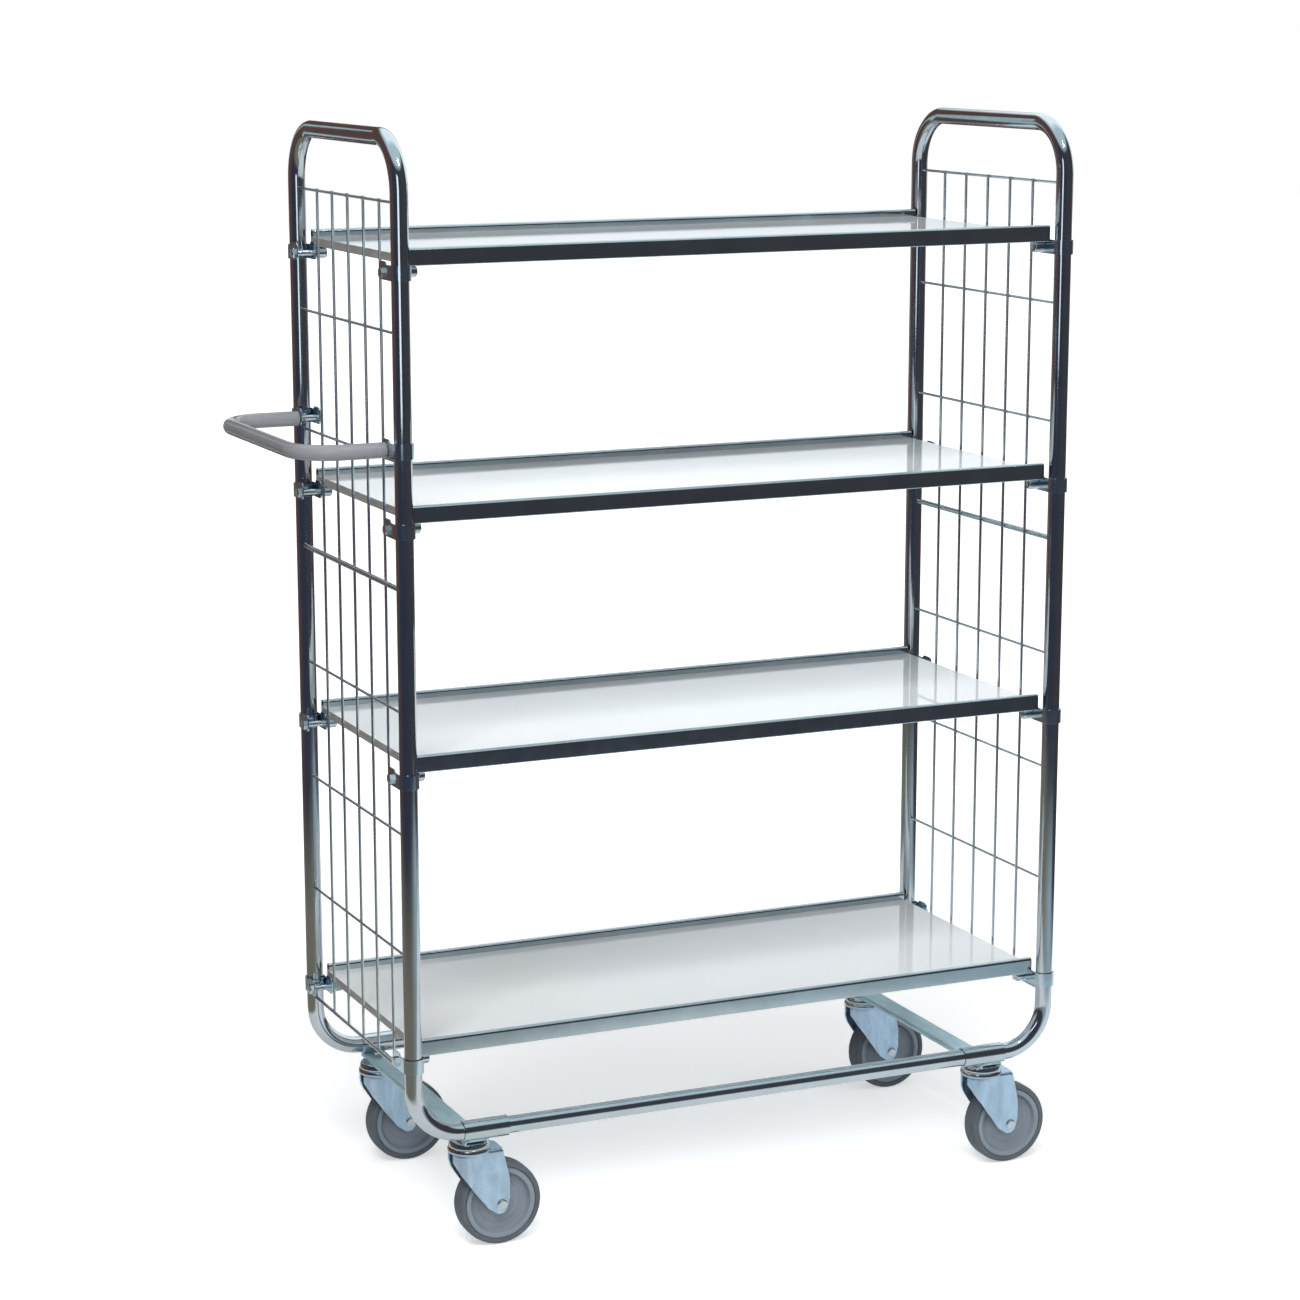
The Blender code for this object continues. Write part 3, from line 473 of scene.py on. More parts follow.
def sleeve_mesh():
    """Sleeve along Z with eased ends."""
    r, inner, h = SLEEVE_R, SLEEVE_R - SLEEVE_WALL, SLEEVE_L / 2
    out, bore = 0.0006, 0.0005
    profile = [(inner, h - bore), (inner + bore, h), (r - out, h), (r, h - out),
               (r, -h + out), (r - out, -h), (inner + bore, -h), (inner, -h + bore)]
    return turned(profile, 64, True)


def weld_bead(length, radius, ripples):
    """Rippled weld bead along Z."""
    profile = [(0, length / 2)]
    steps = ripples * 4
    for i in range(steps + 1):
        t = i / steps
        swell = radius * (0.86 + 0.14 * math.cos(math.tau * ripples * t))
        swell *= math.sin(math.pi * (0.06 + 0.88 * t)) ** 0.35
        profile.append((swell, length * (0.49 - 0.98 * t)))
    profile.append((0, -length / 2))
    return turned(profile, 16)


# Wire grids

def build_grids():
    """Rows welded between the posts, uprights welded on the rows, and their weld beads."""
    last = GRID_ROWS - 1
    reach, sink, bead_in, bead_out = POST_Y - TUBE_R + 0.0004, 0.0008, 0.0012, 0.0018
    upright_low, upright_high, middle = GRID_TOP_Z - last * GRID_PITCH - 0.005, GRID_TOP_Z + 0.0025, 1.0
    crossing_bead = weld_bead(0.0052, 0.0019, 1)
    for name, end in ENDS:
        ux = OX + end * (POST_X - UPRIGHT_INSET)
        wires = []
        for row in range(GRID_ROWS):
            r = ROD_R if row == ROD_ROW else LOW_ROW_R if row == last else WIRE_R
            x = ux + end * (WIRE_R + r - sink)
            z = GRID_TOP_Z - row * GRID_PITCH
            wires.append(tube([(x, -reach, z), (x, 0, z), (x, reach, z)], r, 20))
            for side in (-1, 1):
                spot = Matrix.Translation((x, side * (reach - bead_in), z)) @ TO_Y
                wires.append(moved(weld_bead(0.0042, r * 1.22, 1), spot))
        for i in range(UPRIGHTS):
            y = (i - (UPRIGHTS - 1) // 2) * UPRIGHT_PITCH
            wires.append(tube([(ux, y, upright_low), (ux, y, middle), (ux, y, upright_high)], WIRE_R, 20))
            for row in range(GRID_ROWS):
                z = GRID_TOP_Z - row * GRID_PITCH
                wires.append(moved(crossing_bead, Matrix.Translation((ux + end * bead_out, y, z))))
        place("grid_" + name, merged(*wires), "grid_wire", "chassis", "wire_grid_" + name)


# Shelves

def rail_section():
    """Middle line of the rail's sheet: flange, corner, wall, rolled hem and the leg down to the board."""
    mid, r, corner = RAIL_T / 2, HEM_R, RAIL_CORNER_R
    points = [(RAIL_FLANGE, mid)]
    for i in range(5):
        angle = QUARTER * i / 4
        points.append((mid + corner - corner * math.sin(angle), mid + corner - corner * math.cos(angle)))
    top = RAIL_H - mid - r
    for i in range(19):
        angle = math.pi * (1 - i / 18)
        points.append((mid + r + r * math.cos(angle), top + r * math.sin(angle)))
    points.append((mid + 2 * r, RAIL_T + GAP + BOARD_T - BOARD_REBATE + GAP))
    return points


def build_shelves():
    section = rail_section()
    for number, z in enumerate(SHELF_ZS, 1):
        for name, side in SIDES:
            rows = [[(OX + x, side * (RAIL_Y - u), z + w) for u, w in section]
                    for x in (-SHELF_HALF, 0, SHELF_HALF)]
            rail = rounded(grid_mesh(rows), 0.00018, 1, 50, RAIL_T)
            label = "%s_%d" % (name, number)
            place("rail_" + label, rail, "rail_sheet", "chassis", "shelf_rail_" + label, smooth=50)
        board = board_mesh(z)
        place("board_%d" % number, board, "board_laminate", "chassis", "shelf_board_%d" % number, smooth=40)


def block(size, centre):
    bm = bmesh.new()
    bmesh.ops.create_cube(bm, size=1.0)
    bmesh.ops.transform(bm, matrix=Matrix.Diagonal((*size, 1)), verts=bm.verts)
    bmesh.ops.translate(bm, vec=centre, verts=bm.verts)
    return finished(bm, "block")


def board_mesh(z):
    """Board and its raised face with softly rounded edges; the short ends carry the edge band."""
    low = z + RAIL_T + GAP
    thick = BOARD_T - BOARD_REBATE
    half_y, half_face = RAIL_Y - RAIL_T - GAP, RAIL_Y - FACE_MARGIN
    core = block((2 * SHELF_HALF, 2 * half_y, thick), (OX, 0, low + thick / 2))
    face = block((2 * SHELF_HALF, 2 * half_face, FACE_T), (OX, 0, low + BOARD_T - FACE_T / 2))
    joined = merged(rounded(core, 0.0007, 2), rounded(face, 0.0003, 2))
    joined.materials.append(M["board_laminate"])
    joined.materials.append(M["edge"])
    for polygon in joined.polygons:
        if abs(polygon.normal.x) > 0.9:
            polygon.material_index = 1
    return joined


# Clamps

def strap_mesh():
    """Strap round the post, with a collar that rises into its two ears."""
    mid = STRAP_IN_R + STRAP_T / 2
    corner = EAR_CORNER_R
    ear = []
    for i in range(9):
        angle = QUARTER * i / 8
        cut = corner - corner * math.sin(angle)
        ear.append((EAR_REACH - corner + corner * math.cos(angle), cut - STRAP_LOW, EAR_HIGH - cut))
    ear.append((EAR_NECK, -STRAP_LOW, EAR_HIGH))
    for i in range(7):
        t = i / 6
        high = EAR_HIGH - (EAR_HIGH - COLLAR_HIGH) * (3 * t * t - 2 * t ** 3)
        ear.append((COLLAR_START - COLLAR_RUN * t, -STRAP_LOW, high))
    lower = [(mid, y, low) for y, low, _ in ear]
    upper = [(mid, y, high) for y, _, high in ear]
    for i in range(25):
        angle = math.pi * i / 24
        lower.append((mid * math.cos(angle), -mid * math.sin(angle), -STRAP_LOW))
        upper.append((mid * math.cos(angle), -mid * math.sin(angle), COLLAR_HIGH))
    lower += [(-mid, y, low) for y, low, _ in reversed(ear)]
    upper += [(-mid, y, high) for y, _, high in reversed(ear)]
    return rounded(grid_mesh([upper, lower]), 0.0004, 2, 50, STRAP_T)


def saddle_mesh():
    """Curved pad between the post and the bolt."""
    radius = TUBE_R + GAP + SADDLE_T / 2
    half, half_sweep, step = SADDLE_H / 2, 70, 7
    rows = []
    for z in (-half, half):
        row = []
        for i in range(2 * half_sweep // step + 1):
            angle = math.radians(-half_sweep + step * i)
            row.append((radius * math.sin(angle), radius * math.cos(angle), z))
        rows.append(row)
    return rounded(grid_mesh(rows), 0.0003, 2, 50, SADDLE_T)


def clamp_matrix(sx, sy, z):
    """Place of a shelf clamp on one post, its ears turned inwards."""
    return Matrix.Translation((OX + sx * POST_X, sy * POST_Y, z)) @ Matrix.Diagonal((-sx, -sy, 1, 1))


def shank_mesh():
    """Clamp bolt's shank along X from ear to ear, its ends lightly bevelled."""
    half, bevel = EAR_OUT, 0.0003
    profile = [(0, half), (BOLT_R - bevel, half), (BOLT_R, half - bevel),
               (BOLT_R, -half + bevel), (BOLT_R - bevel, -half), (0, -half)]
    return moved(turned(profile, 32), Matrix.Translation((0, BOLT_REACH, 0)) @ TO_X)


def pin_mesh():
    """Support pin on the bolt, its far end domed."""
    half, r, sink = PIN_L / 2, PIN_R, 0.0006
    profile = [(0, half), (r * 0.42, half), (r - 0.0028, half - 0.0002), (r - 0.0012, half - 0.0009),
               (r - 0.0003, half - 0.0021), (r, half - 0.0034), (r, -half + sink), (r - sink, -half),
               (0, -half)]
    return moved(turned(profile, 48), Matrix.Translation((EAR_OUT - sink + half, BOLT_REACH, 0)) @ TO_X)


def place_clamp(label, node, matrix, strap, saddle, bolt):
    """One clamp: label is the pieces' shared name, with %s for strap, saddle or bolt."""
    place(label % "strap", strap.copy(), "clamp_steel", "chassis", node, matrix)
    place(label % "saddle", saddle.copy(), "clamp_steel", "chassis", matrix=matrix)
    place(label % "bolt", bolt.copy(), "clamp_steel", "chassis", matrix=matrix, material=M["axle_steel"])


def build_clamps():
    """Sixteen shelf clamps with their pins, and the two clamps of the handle."""
    strap, saddle, pin = strap_mesh(), saddle_mesh(), pin_mesh()
    shank, head = shank_mesh(), hex_bolt(HEAD_AF, HEAD_T)
    seat = EAR_OUT - 0.0002
    outside = Matrix.Translation((-seat, BOLT_REACH, 0)) @ Matrix.Rotation(-QUARTER, 4, "Y")
    inside = Matrix.Translation((seat, BOLT_REACH, 0)) @ TO_X
    shelf_bolt, handle_bolt = merged(shank, moved(head, outside)), merged(shank, moved(head, inside))
    for number, shelf_z in enumerate(SHELF_ZS, 1):
        z = shelf_z - GAP - PIN_R
        for end_name, sx in ENDS:
            for side_name, sy in SIDES:
                label = "%s_%s_%d" % (side_name, end_name, number)
                matrix = clamp_matrix(sx, sy, z)
                place_clamp("%s_" + label, "shelf_clamp_" + label, matrix, strap, saddle, shelf_bolt)
                place("pin_" + label, pin.copy(), "clamp_steel", "chassis", matrix=matrix,
                      material=M["head_steel"])
    for name, sy in SIDES:
        matrix = Matrix.Translation((OX - POST_X, sy * POST_Y, HANDLE_Z)) @ Matrix.Diagonal((1, -sy, 1, 1))
        place_clamp("handle_%s_" + name, "handle_clamp_" + name, matrix, strap, saddle, handle_bolt)


# Push handle

def build_handle():
    """U-shaped handle tube with a plug in each end."""
    root = OX - POST_X - EAR_OUT - GAP
    lip, skin = 0.0042, 0.0001
    leg_y = POST_Y - BOLT_REACH
    bar_x = OX - POST_X - HANDLE_REACH
    centre = Vector((bar_x + HANDLE_BEND_R, -leg_y + HANDLE_BEND_R, HANDLE_Z))
    half = [Vector((root - lip, -leg_y, HANDLE_Z))]
    half += arc(centre, 0, QUARTER, HANDLE_BEND_R, 18, -SIDE_Y, -SIDE_X)
    path = half + [Vector((p.x, -p.y, p.z)) for p in reversed(half)]
    place("handle_tube", tube(path, HANDLE_R - skin, 40), "handle_coating", "chassis", "handle_bar")
    r = HANDLE_R
    profile = [(0, 0), (r - 0.0008, 0), (r, -0.0008), (r, -0.0032), (r - 0.0005, -0.0038),
               (r - 0.0005, -0.0045), (0, -0.0045)]
    for name, side in SIDES:
        matrix = Matrix.Translation((root, side * leg_y, HANDLE_Z)) @ TO_X
        place("handle_plug_" + name, turned(profile, 48), "handle_coating", "chassis", matrix=matrix)


# Casters

# Edges of a cheek: places in shares of the trail, heights in shares of the rise from axle to plate
CHEEK_LOW = [(-0.80, 0.99), (-0.47, 0.63), (-0.05, 0.307), (0.494, -0.048), (0.847, -0.168),
             (1.06, -0.160), (1.20, -0.08), (1.282, 0.15)]
CHEEK_HIGH = [(-0.80, 1.0), (1.03, 1.0), (1.17, 0.72), (1.25, 0.52), (1.282, 0.42)]


def along(shares, x):
    """Height of an edge at a place."""
    for (x0, z0), (x1, z1) in zip(shares, shares[1:]):
        if x <= x1:
            return z0 + (z1 - z0) * max(0.0, (x - x0) / (x1 - x0))
    return shares[-1][1]


def soft_along(shares, x):
    """The same line with its corners eased."""
    spread, weights = 0.05, (1, 3, 6, 7, 6, 3, 1)
    taps = [along(shares, x + spread * (k - 3) / 3) for k in range(7)]
    return sum(t * w for t, w in zip(taps, weights)) / sum(weights)


def cheek_plan():
    """Cheek seen from above: round the race in front, then straight back beside the wheel."""
    radius = RACE_R - CHEEK_T
    broad = CHEEK_BROAD - CHEEK_T / 2
    flat = CHEEK_OUT - CHEEK_T / 2
    piece = 0.0016
    start = math.pi - math.asin(CHEEK_FRONT / radius)
    stop = math.pi - math.asin(broad / radius)
    corners = []
    for i in range(15):
        angle = start + (stop - start) * i / 14
        corners.append((radius * math.cos(angle), radius * math.sin(angle)))
    tail = [corners[-1], (0.05 * TRAIL, broad), (0.494 * TRAIL, flat), (1.282 * TRAIL, flat)]
    tail = fillet(tail, 0.005, 6)
    points = corners + tail[1:]
    dense = [points[0]]
    for a, b in zip(points, points[1:]):
        length = math.dist(a, b)
        pieces = max(1, int(length / piece))
        for k in range(1, pieces + 1):
            dense.append((a[0] + (b[0] - a[0]) * k / pieces, a[1] + (b[1] - a[1]) * k / pieces))
    return dense


def cheek_mesh(side):
    """Pressed cheek: upright wall whose top bends inwards into the plate."""
    plate_mid = PLATE_TOP_Z - PLATE_T / 2
    joined_from = plate_mid - 0.0004
    drop, bend, least = plate_mid - WHEEL_R, CHEEK_BEND_R, 0.0008
    plan = cheek_plan()
    inward = []
    for i, (x, y) in enumerate(plan):
        ax, ay = plan[max(0, i - 1)]
        bx, by = plan[min(len(plan) - 1, i + 1)]
        normal = Vector((by - ay, -(bx - ax)))
        if normal.y > 0:
            normal.negate()
        inward.append(normal.normalized())
    rows = []
    tops = [WHEEL_R + drop * along(CHEEK_HIGH, x / TRAIL) for x, _ in plan]
    for step in range(11):
        row = []
        for (x, y), top in zip(plan, tops):
            high = top - (bend if top > joined_from else 0.0)
            low = min(WHEEL_R + drop * soft_along(CHEEK_LOW, x / TRAIL), high - least)
            row.append((x, side * y, low + (high - low) * (step / 10)))
        rows.append(row)
    for k in range(1, 6):
        angle = QUARTER * k / 5
        row = []
        for (x, y), n, top in zip(plan, inward, tops):
            if top > joined_from:
                shift = bend * (1 - math.cos(angle))
                row.append((x + n.x * shift, side * (y + n.y * shift), top - bend + bend * math.sin(angle)))
            else:
                row.append((x, side * y, top))
        rows.append(row)
    bm = bmesh.new()
    bm.from_mesh(grid_mesh(rows))
    bmesh.ops.remove_doubles(bm, verts=bm.verts, dist=5 * MERGE)
    bmesh.ops.recalc_face_normals(bm, faces=bm.faces)
    return rounded(finished(bm, "cheek"), 0.0005, 2, 50, CHEEK_T)


def plate_mesh():
    """Fork's flat top: round in front, square with eased corners over the wheel."""
    rim, rear, corner = PLATE_R, PLATE_REAR, PLATE_CORNER_R
    half = CHEEK_OUT - 0.0012
    sweep = math.asin(half / rim)
    points = []
    for i in range(49):
        angle = sweep + (math.tau - 2 * sweep) * i / 48
        points.append((rim * math.cos(angle), rim * math.sin(angle)))
    for i in range(9):
        angle = QUARTER * i / 8
        points.append((rear - corner + corner * math.sin(angle), -half + corner - corner * math.cos(angle)))
    for i in range(9):
        angle = QUARTER * i / 8
        points.append((rear - corner + corner * math.cos(angle), half - corner + corner * math.sin(angle)))
    bm = bmesh.new()
    low = [bm.verts.new((x, y, PLATE_LOW_Z)) for x, y in points]
    high = [bm.verts.new((x, y, PLATE_TOP_Z)) for x, y in points]
    bm.faces.new(high)
    bm.faces.new(low[::-1])
    count = len(points)
    for i in range(count):
        j = (i + 1) % count
        bm.faces.new((low[i], low[j], high[j], high[i]))
    bmesh.ops.recalc_face_normals(bm, faces=bm.faces)
    return rounded(finished(bm, "plate"), 0.0009, 3, 40)


def fork_mesh():
    return merged(cheek_mesh(1), cheek_mesh(-1), plate_mesh())


def race_mesh():
    """Lower race on the fork's plate, narrowing towards the cup."""
    top, low = RACE_TOP_Z, PLATE_TOP_Z - 0.0006
    shoulder = [(0.0288, 0), (0.0298, 0.0004), (0.0306, 0.0014), (0.0312, 0.0028), (0.0316, 0.0042),
                (RACE_R, 0.0050)]
    profile = [(RACE_BORE_R, top)] + [(radius, top - drop) for radius, drop in shoulder]
    return turned(profile + [(0.0312, low), (RACE_BORE_R, low)], 80, True)


def head_mesh():
    """Race cup, and the king bolt with its nut."""
    top, low, inside = CASTER_H, CUP_LOW_Z, CASTER_H - CUP_WALL
    cup = turned([(0, top), (0.0262, top), (0.0272, top - 0.0004), (0.0280, top - 0.0012),
                  (0.0286, top - 0.0024), (0.0292, top - 0.0042), (0.0298, low + 0.0022),
                  (0.0300, low + 0.0008), (0.0297, low), (0.0278, low), (0.0275, low + 0.0006),
                  (0.0268, top - 0.004), (0.025, inside), (0, inside)], 80)
    seat = CHANNEL_TOP_Z + GAP
    nut = moved(hex_bolt(KING_AF, KING_NUT_T), Matrix.Translation((0, 0, seat)))
    end, foot, chamfer = seat + KING_NUT_T + 0.002, PLATE_LOW_Z - 0.004, 0.0006
    stud = turned([(0, end), (KING_R - chamfer, end), (KING_R, end - chamfer), (KING_R, foot), (0, foot)], 32)
    under = Matrix.Translation((0, 0, PLATE_LOW_Z - GAP)) @ Matrix.Rotation(math.pi, 4, "X")
    return merged(cup, nut, stud, moved(hex_bolt(KING_AF, KING_HEAD_T), under))


def rim_mesh():
    """Moulded wheel centre with concentric steps and a raised hub."""
    r = WHEEL_R - TYRE_SECTION - GAP
    half = TYRE_W / 2 - 0.0008
    upper = [(0.0063, 0.0170), (0.0105, 0.0170), (0.0115, 0.0166), (0.0120, 0.0156), (0.0128, 0.0104),
             (0.0140, 0.0094), (0.0205, 0.0090), (0.0216, 0.0085), (0.0224, 0.0076), (0.0300, 0.0070),
             (0.0312, 0.0066), (0.0322, 0.0058), (0.0400, 0.0056), (0.0424, 0.0062), (0.0438, 0.0078),
             (0.0446, 0.0110), (0.0452, half - 0.0012), (0.0462, half - 0.0002), (0.0478, half),
             (r - 0.0016, half), (r - 0.0006, half - 0.0004), (r, half - 0.0014)]
    lower = [(radius, -z) for radius, z in reversed(upper)]
    return turned(upper + lower, 128, True)


def tyre_mesh():
    """Rubber tyre with rounded shoulders and a faint mould line round its tread."""
    inner, outer, half = WHEEL_R - TYRE_SECTION, WHEEL_R, TYRE_W / 2
    upper = [(inner, half - 0.0016), (inner + 0.0008, half - 0.0006), (inner + 0.0024, half - 0.0001),
             (inner + 0.0042, half), (outer - 0.0030, half - 0.0005), (outer - 0.0016, half - 0.0014),
             (outer - 0.0007, half - 0.0030), (outer - 0.0002, half - 0.0060), (outer, half - 0.0100),
             (outer, 0.0006), (outer - 0.00025, 0.0)]
    lower = [(radius, -z) for radius, z in reversed(upper[:-1])]
    return turned(upper + lower, 128, True)


def axle_mesh():
    """Axle bolt along Y with a domed head in front, its nut at the back and the spacer in the hub."""
    face, inside, chamfer = CHEEK_OUT + GAP, CHEEK_IN - GAP, 0.0004
    r, t = AXLE_HEAD_R, AXLE_HEAD_T
    head = turned([(0, t), (r - 0.0016, t), (r - 0.0006, 0.0026), (r, 0.0018), (r, 0.0002), (r - 0.0002, 0),
                   (0, 0)], 48)
    head = moved(head, Matrix.Translation((0, -face + GAP, 0)) @ Matrix.Rotation(QUARTER, 4, "X"))
    nut = moved(hex_bolt(AXLE_NUT_AF, AXLE_NUT_T), Matrix.Translation((0, face - GAP, 0)) @ TO_Y)
    reach = face + AXLE_NUT_T + AXLE_END
    bar = turned([(0, reach), (AXLE_R - chamfer, reach), (AXLE_R, reach - chamfer), (AXLE_R, -face),
                  (0, -face)], 32)
    spacer = turned([(0, inside), (SPACER_R, inside), (SPACER_R, -inside), (0, -inside)], 32)
    return merged(head, nut, moved(bar, TO_Y), moved(spacer, TO_Y))


def build_casters():
    """Cups and king bolts ride on the frame, forks and axles on the swivels, rims and tyres on the wheels."""
    fork, race = fork_mesh(), race_mesh()
    head, rim, tyre, axle = head_mesh(), rim_mesh(), tyre_mesh(), axle_mesh()
    lay = Matrix.Rotation(QUARTER, 4, "X")
    for end_name, sx in ENDS:
        for side_name, sy in SIDES:
            label = side_name + "_" + end_name
            spot = Matrix.Translation((OX + sx * SWIVEL_X, sy * SWIVEL_Y, 0))
            hub = spot @ Matrix.Translation((TRAIL, 0, WHEEL_R))
            fork_body, wheel_body = "caster_fork_" + label, "wheel_" + label
            place("race_cup_" + label, head.copy(), "head_steel", "chassis", "caster_head_" + label, spot)
            place("fork_sheet_" + label, fork.copy(), "fork_steel", fork_body, "fork_" + label, spot,
                  smooth=38)
            place("fork_race_" + label, race.copy(), "head_steel", fork_body, matrix=spot)
            place("axle_" + label, axle.copy(), "axle_steel", fork_body, "axle_bolt_" + label, hub)
            place("rim_" + label, rim.copy(), "rim_plastic", wheel_body, "wheel_rim_" + label, hub @ lay)
            place("rubber_" + label, tyre.copy(), "tyre_rubber", wheel_body, "tyre_" + label, hub @ lay)


build_hoops()
build_base()
build_grids()
build_shelves()
build_clamps()
build_handle()
build_casters()


# Stage, light and camera

ROOM_R, CARPET_W, FLOOR_W = 9.0, 18.0, 40.0


def mirror_only(obj):
    """Seen in polished surfaces alone, as a dark studio round a white sweep is."""
    obj.visible_camera = False
    obj.visible_diffuse = False
    obj.visible_shadow = False
    obj.visible_transmission = False
    obj.visible_volume_scatter = False
    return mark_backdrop(obj)


def shine(n, colour, strength=1.0):
    return n.add("ShaderNodeEmission", {"Color": colour, "Strength": strength}).outputs[0]


def shown_as(n, surface, keep_shader=False):
    """The material with another surface on its output."""
    n.tree.links.new(surface, n.tree.nodes["Material Output"].inputs[0])
    if not keep_shader:
        n.tree.nodes.remove(n.shader)
    return n.material


def math_node(n, operation, *values, clamp=False):
    made = n.add("ShaderNodeMath", dict(enumerate(values)), operation=operation, use_clamp=clamp)
    return made.outputs[0]


def stage_mesh(name, mesh, material, location=(0, 0, 0)):
    mesh.materials.append(material)
    obj = bpy.data.objects.new(name, mesh)
    bpy.context.scene.collection.objects.link(obj)
    obj.location = location
    return obj


def by_place(n):
    """X, Y and Z of the shaded spot."""
    return n.add("ShaderNodeSeparateXYZ", {"Vector": n.place}).outputs


def room_colour(n, x, y):
    """Dim walls: blue towards the front left, grey at the front right, brown at the back."""
    front = n.mix(n.grey(x, 0.0, 1.0, -3.0, 4.0), (0.039, 0.046, 0.073), (0.060, 0.058, 0.066))
    return n.mix(n.grey(y, 0.0, 1.0, -1.0, 3.0), front, (0.125, 0.070, 0.062))


def build_room():
    """Dim dome, pale overhead and brightest at the back, with a white backdrop low behind the trolley."""
    bm = bmesh.new()
    bmesh.ops.create_uvsphere(bm, u_segments=64, v_segments=32, radius=ROOM_R)
    mesh = finished(bm, "room")
    mesh.shade_smooth()
    n = Nodes("room_walls")
    x, y, z = by_place(n)
    overhead = n.grey(z, 0.0, 1.0, 6.3, 7.3)
    slope = math_node(n, "MULTIPLY_ADD", x, 0.6, z)
    behind = math_node(n, "MULTIPLY", n.grey(slope, 0.0, 1.0, 5.6, 6.8), n.grey(y, 0.0, 1.0, 0.0, 2.0))
    pale = n.mix(behind, (0.62, 0.76, 0.82), (1.15, 1.25, 1.30))
    shown = math_node(n, "MAXIMUM", overhead, behind)
    low = math_node(n, "MULTIPLY", n.grey(z, 1.0, 0.0, 2.6, 3.1), n.grey(x, 0.0, 1.0, 0.2, 1.4))
    low = math_node(n, "MULTIPLY", low, n.grey(y, 0.0, 1.0, 3.0, 4.5))
    backdrop = n.mix(n.grey(z, 0.0, 1.0, 1.9, 2.3), (0.68, 0.72, 0.75), (1.05, 1.10, 1.12))
    walls = n.mix(low, room_colour(n, x, y), backdrop)
    mirror_only(stage_mesh("room", mesh, shown_as(n, shine(n, n.mix(shown, walls, pale)))))


def flat_mesh(name, width, height):
    bm = bmesh.new()
    bmesh.ops.create_grid(bm, x_segments=1, y_segments=1, size=0.5)
    bmesh.ops.scale(bm, vec=(width, height, 1), verts=bm.verts)
    return finished(bm, name)


def distance(n, shift=(0, 0, 0), scale=(1, 1, 1)):
    """How far the shaded spot lies from a centre, measured on scaled axes."""
    spot = n.add("ShaderNodeMapping", {"Vector": n.place, "Location": shift, "Scale": scale}).outputs[0]
    return n.add("ShaderNodeVectorMath", {0: spot}, operation="LENGTH").outputs["Value"]


def build_carpet():
    """Dull floor, thin over the white sweep: olive on the left, blue-grey on the right, dim far out."""
    n = Nodes("carpet_wool")
    x, y, _ = by_place(n)
    radius = distance(n, (-0.28, -0.167, 0), (0.8, 0.833, 1))
    near = n.mix(n.grey(x, 0.0, 1.0, -0.9, 0.9), (0.217, 0.206, 0.160), (0.38, 0.48, 0.54))
    away = math_node(n, "MAXIMUM", n.grey(radius, 0.0, 1.0, 1.7, 2.5), n.grey(x, 0.0, 1.0, 1.5, 2.1))
    glow = shine(n, n.mix(away, near, room_colour(n, x, y)))
    clear = n.add("ShaderNodeBsdfTransparent").outputs[0]
    shown = n.grey(radius, 0.5, 1.0, 1.01, 1.13)
    mix = n.add("ShaderNodeMixShader", {0: shown, 1: clear, 2: glow}).outputs[0]
    carpet = flat_mesh("carpet", CARPET_W, CARPET_W)
    mirror_only(stage_mesh("carpet", carpet, shown_as(n, mix), (0, 0, 0.001)))


def build_card(name, location, width, height, colour):
    """Upright bright card that faces the trolley and shows only in polished surfaces."""
    n = Nodes(name + "_white")
    surface = shown_as(n, shine(n, (*colour, 1)))
    card = stage_mesh(name, flat_mesh(name, width, height), surface, location)
    card.rotation_euler = Vector((-location[0], -location[1], 0)).to_track_quat("Z", "Y").to_euler()
    mirror_only(card)


def build_floor():
    """White floor that keeps the trolley's shadow; where it is seen or mirrored it fades to full white."""
    n = Nodes("floor_white")
    n.finish((0.86, 0.87, 0.87), 0.9, Specular_IOR_Level=0.1)
    path = n.add("ShaderNodeLightPath").outputs
    direct = math_node(n, "ADD", path["Is Camera Ray"], path["Is Glossy Ray"])
    seen = math_node(n, "ADD", direct, path["Is Transmission Ray"], clamp=True)
    lift = math_node(n, "MULTIPLY", n.grey(distance(n), 0.50, 1.0, 0.8, 2.6), seen)
    glow = shine(n, (1, 1, 1, 1), lift)
    both = n.add("ShaderNodeAddShader", {0: n.shader.outputs[0], 1: glow}).outputs[0]
    floor = flat_mesh("floor", FLOOR_W, FLOOR_W)
    stage_mesh("floor", floor, shown_as(n, both, keep_shader=True), (0, 0, -0.0005))


def build_world():
    """Soft daylight that is stronger from the front; whatever sees the world itself sees white."""
    world = bpy.data.worlds.new("studio")
    bpy.context.scene.world = world
    world.use_nodes = True
    tree = world.node_tree
    tree.nodes.clear()

    def add(kind, *sources, **settings):
        made = tree.nodes.new(kind)
        for key, value in settings.items():
            setattr(made, key, value)
        for socket, source in zip(made.inputs, sources):
            if isinstance(source, bpy.types.NodeSocket):
                tree.links.new(source, socket)
            else:
                socket.default_value = source
        return made

    path = add("ShaderNodeLightPath").outputs
    direct = add("ShaderNodeMath", path["Is Camera Ray"], path["Is Glossy Ray"], operation="ADD")
    seen = add("ShaderNodeMath", direct.outputs[0], path["Is Transmission Ray"], operation="ADD",
               use_clamp=True)
    way = add("ShaderNodeSeparateXYZ", add("ShaderNodeTexCoord").outputs["Generated"])
    level = add("ShaderNodeMapRange", way.outputs[1], -0.8, 0.4, 0.74, 0.08)
    light = add("ShaderNodeBackground", (0.93, 0.96, 1.0, 1), level.outputs[0])
    white = add("ShaderNodeBackground", (1, 1, 1, 1), 1.0)
    mix = add("ShaderNodeMixShader", seen.outputs[0], light.outputs[0], white.outputs[0])
    add("ShaderNodeOutputWorld", mix.outputs[0])


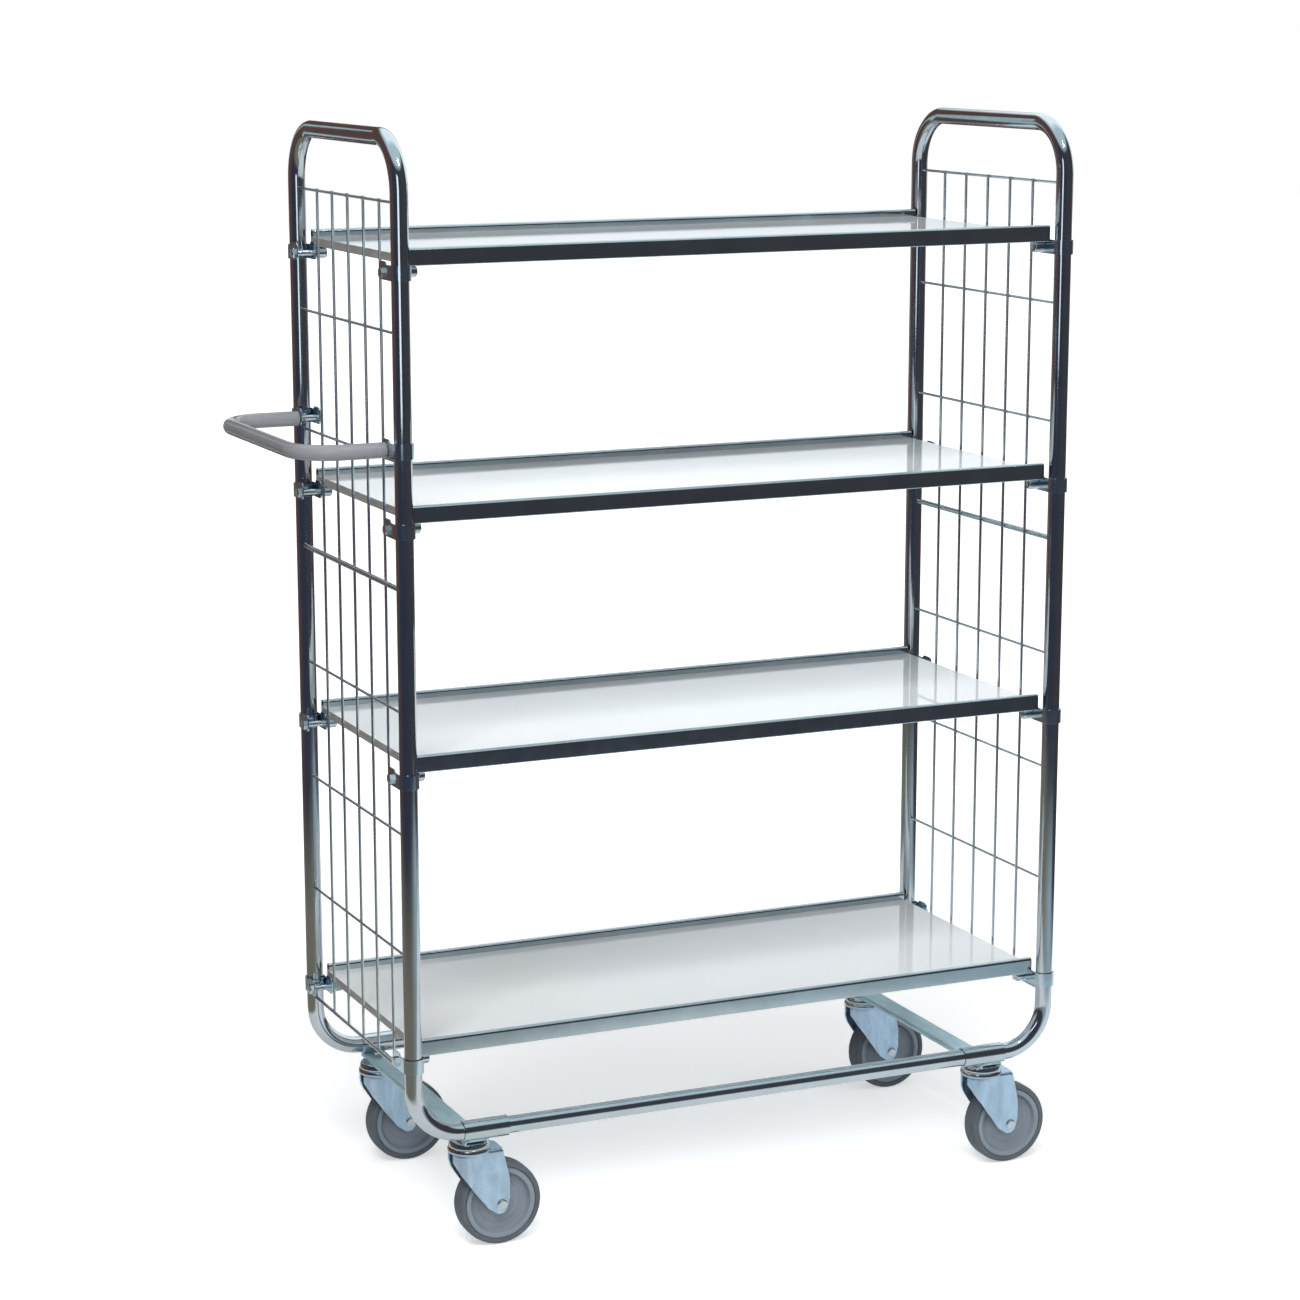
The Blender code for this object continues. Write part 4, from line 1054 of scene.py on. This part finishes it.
def area(name, location, target, size, power, mirrored=False):
    """Soft box aimed at a target; polished surfaces show it only where it is mirrored."""
    data = bpy.data.lights.new(name, "AREA")
    data.shape = "RECTANGLE"
    data.size, data.size_y = size
    data.energy = power
    obj = bpy.data.objects.new(name, data)
    bpy.context.scene.collection.objects.link(obj)
    obj.location = location
    direction = Vector(target) - Vector(location)
    obj.rotation_euler = direction.to_track_quat("-Z", "Y").to_euler()
    obj.visible_glossy = mirrored


def build_camera():
    """The photograph's camera, with its small roll and shift."""
    yaw, pitch, roll = math.radians(22.990), math.radians(-12.249), math.radians(-0.302)
    forward = Vector((math.sin(yaw) * math.cos(pitch), math.cos(yaw) * math.cos(pitch), math.sin(pitch)))
    right = Vector((math.cos(yaw), -math.sin(yaw), 0))
    up = right.cross(forward)
    turned_right = math.cos(roll) * right + math.sin(roll) * up
    turned_up = -math.sin(roll) * right + math.cos(roll) * up
    matrix = Matrix((turned_right, turned_up, -forward)).transposed().to_4x4()
    matrix.translation = Vector((-2.0017 + OX, -4.3177, 1.7561))
    data = bpy.data.cameras.new("camera")
    data.sensor_width = 36.0
    data.sensor_fit = "HORIZONTAL"
    data.lens = 89.956
    data.shift_x = 0.0572
    data.shift_y = 0.0418
    data.clip_start = 0.05
    camera = bpy.data.objects.new("camera", data)
    bpy.context.scene.collection.objects.link(camera)
    camera.matrix_world = matrix
    bpy.context.scene.camera = camera


build_floor()
build_world()
area("key", (-1.8, -2.7, 4.0), (0, 0, 0.7), (2.0, 2.0), 142)
area("top", (0.3, 0.4, 4.2), (0, 0, 0.5), (2.6, 2.0), 9)
area("fill", (3.4, -2.4, 1.9), (0, 0, 0.8), (1.6, 2.4), 18)
area("glint", (0.37, -1.9, 4.0), (-0.6, 0, 1.2), (0.12, 0.50), 18, mirrored=True)
build_room()
build_carpet()
build_card("tall_card", (-1.23, -1.58, 1.70), 0.56, 1.42, (1.30, 1.38, 1.42))
build_card("thin_card", (-0.93, 2.60, 1.30), 0.30, 2.40, (0.42, 0.58, 0.62))
build_camera()

bpy.context.scene.view_settings.view_transform = "Standard"
bpy.context.view_layer.update()
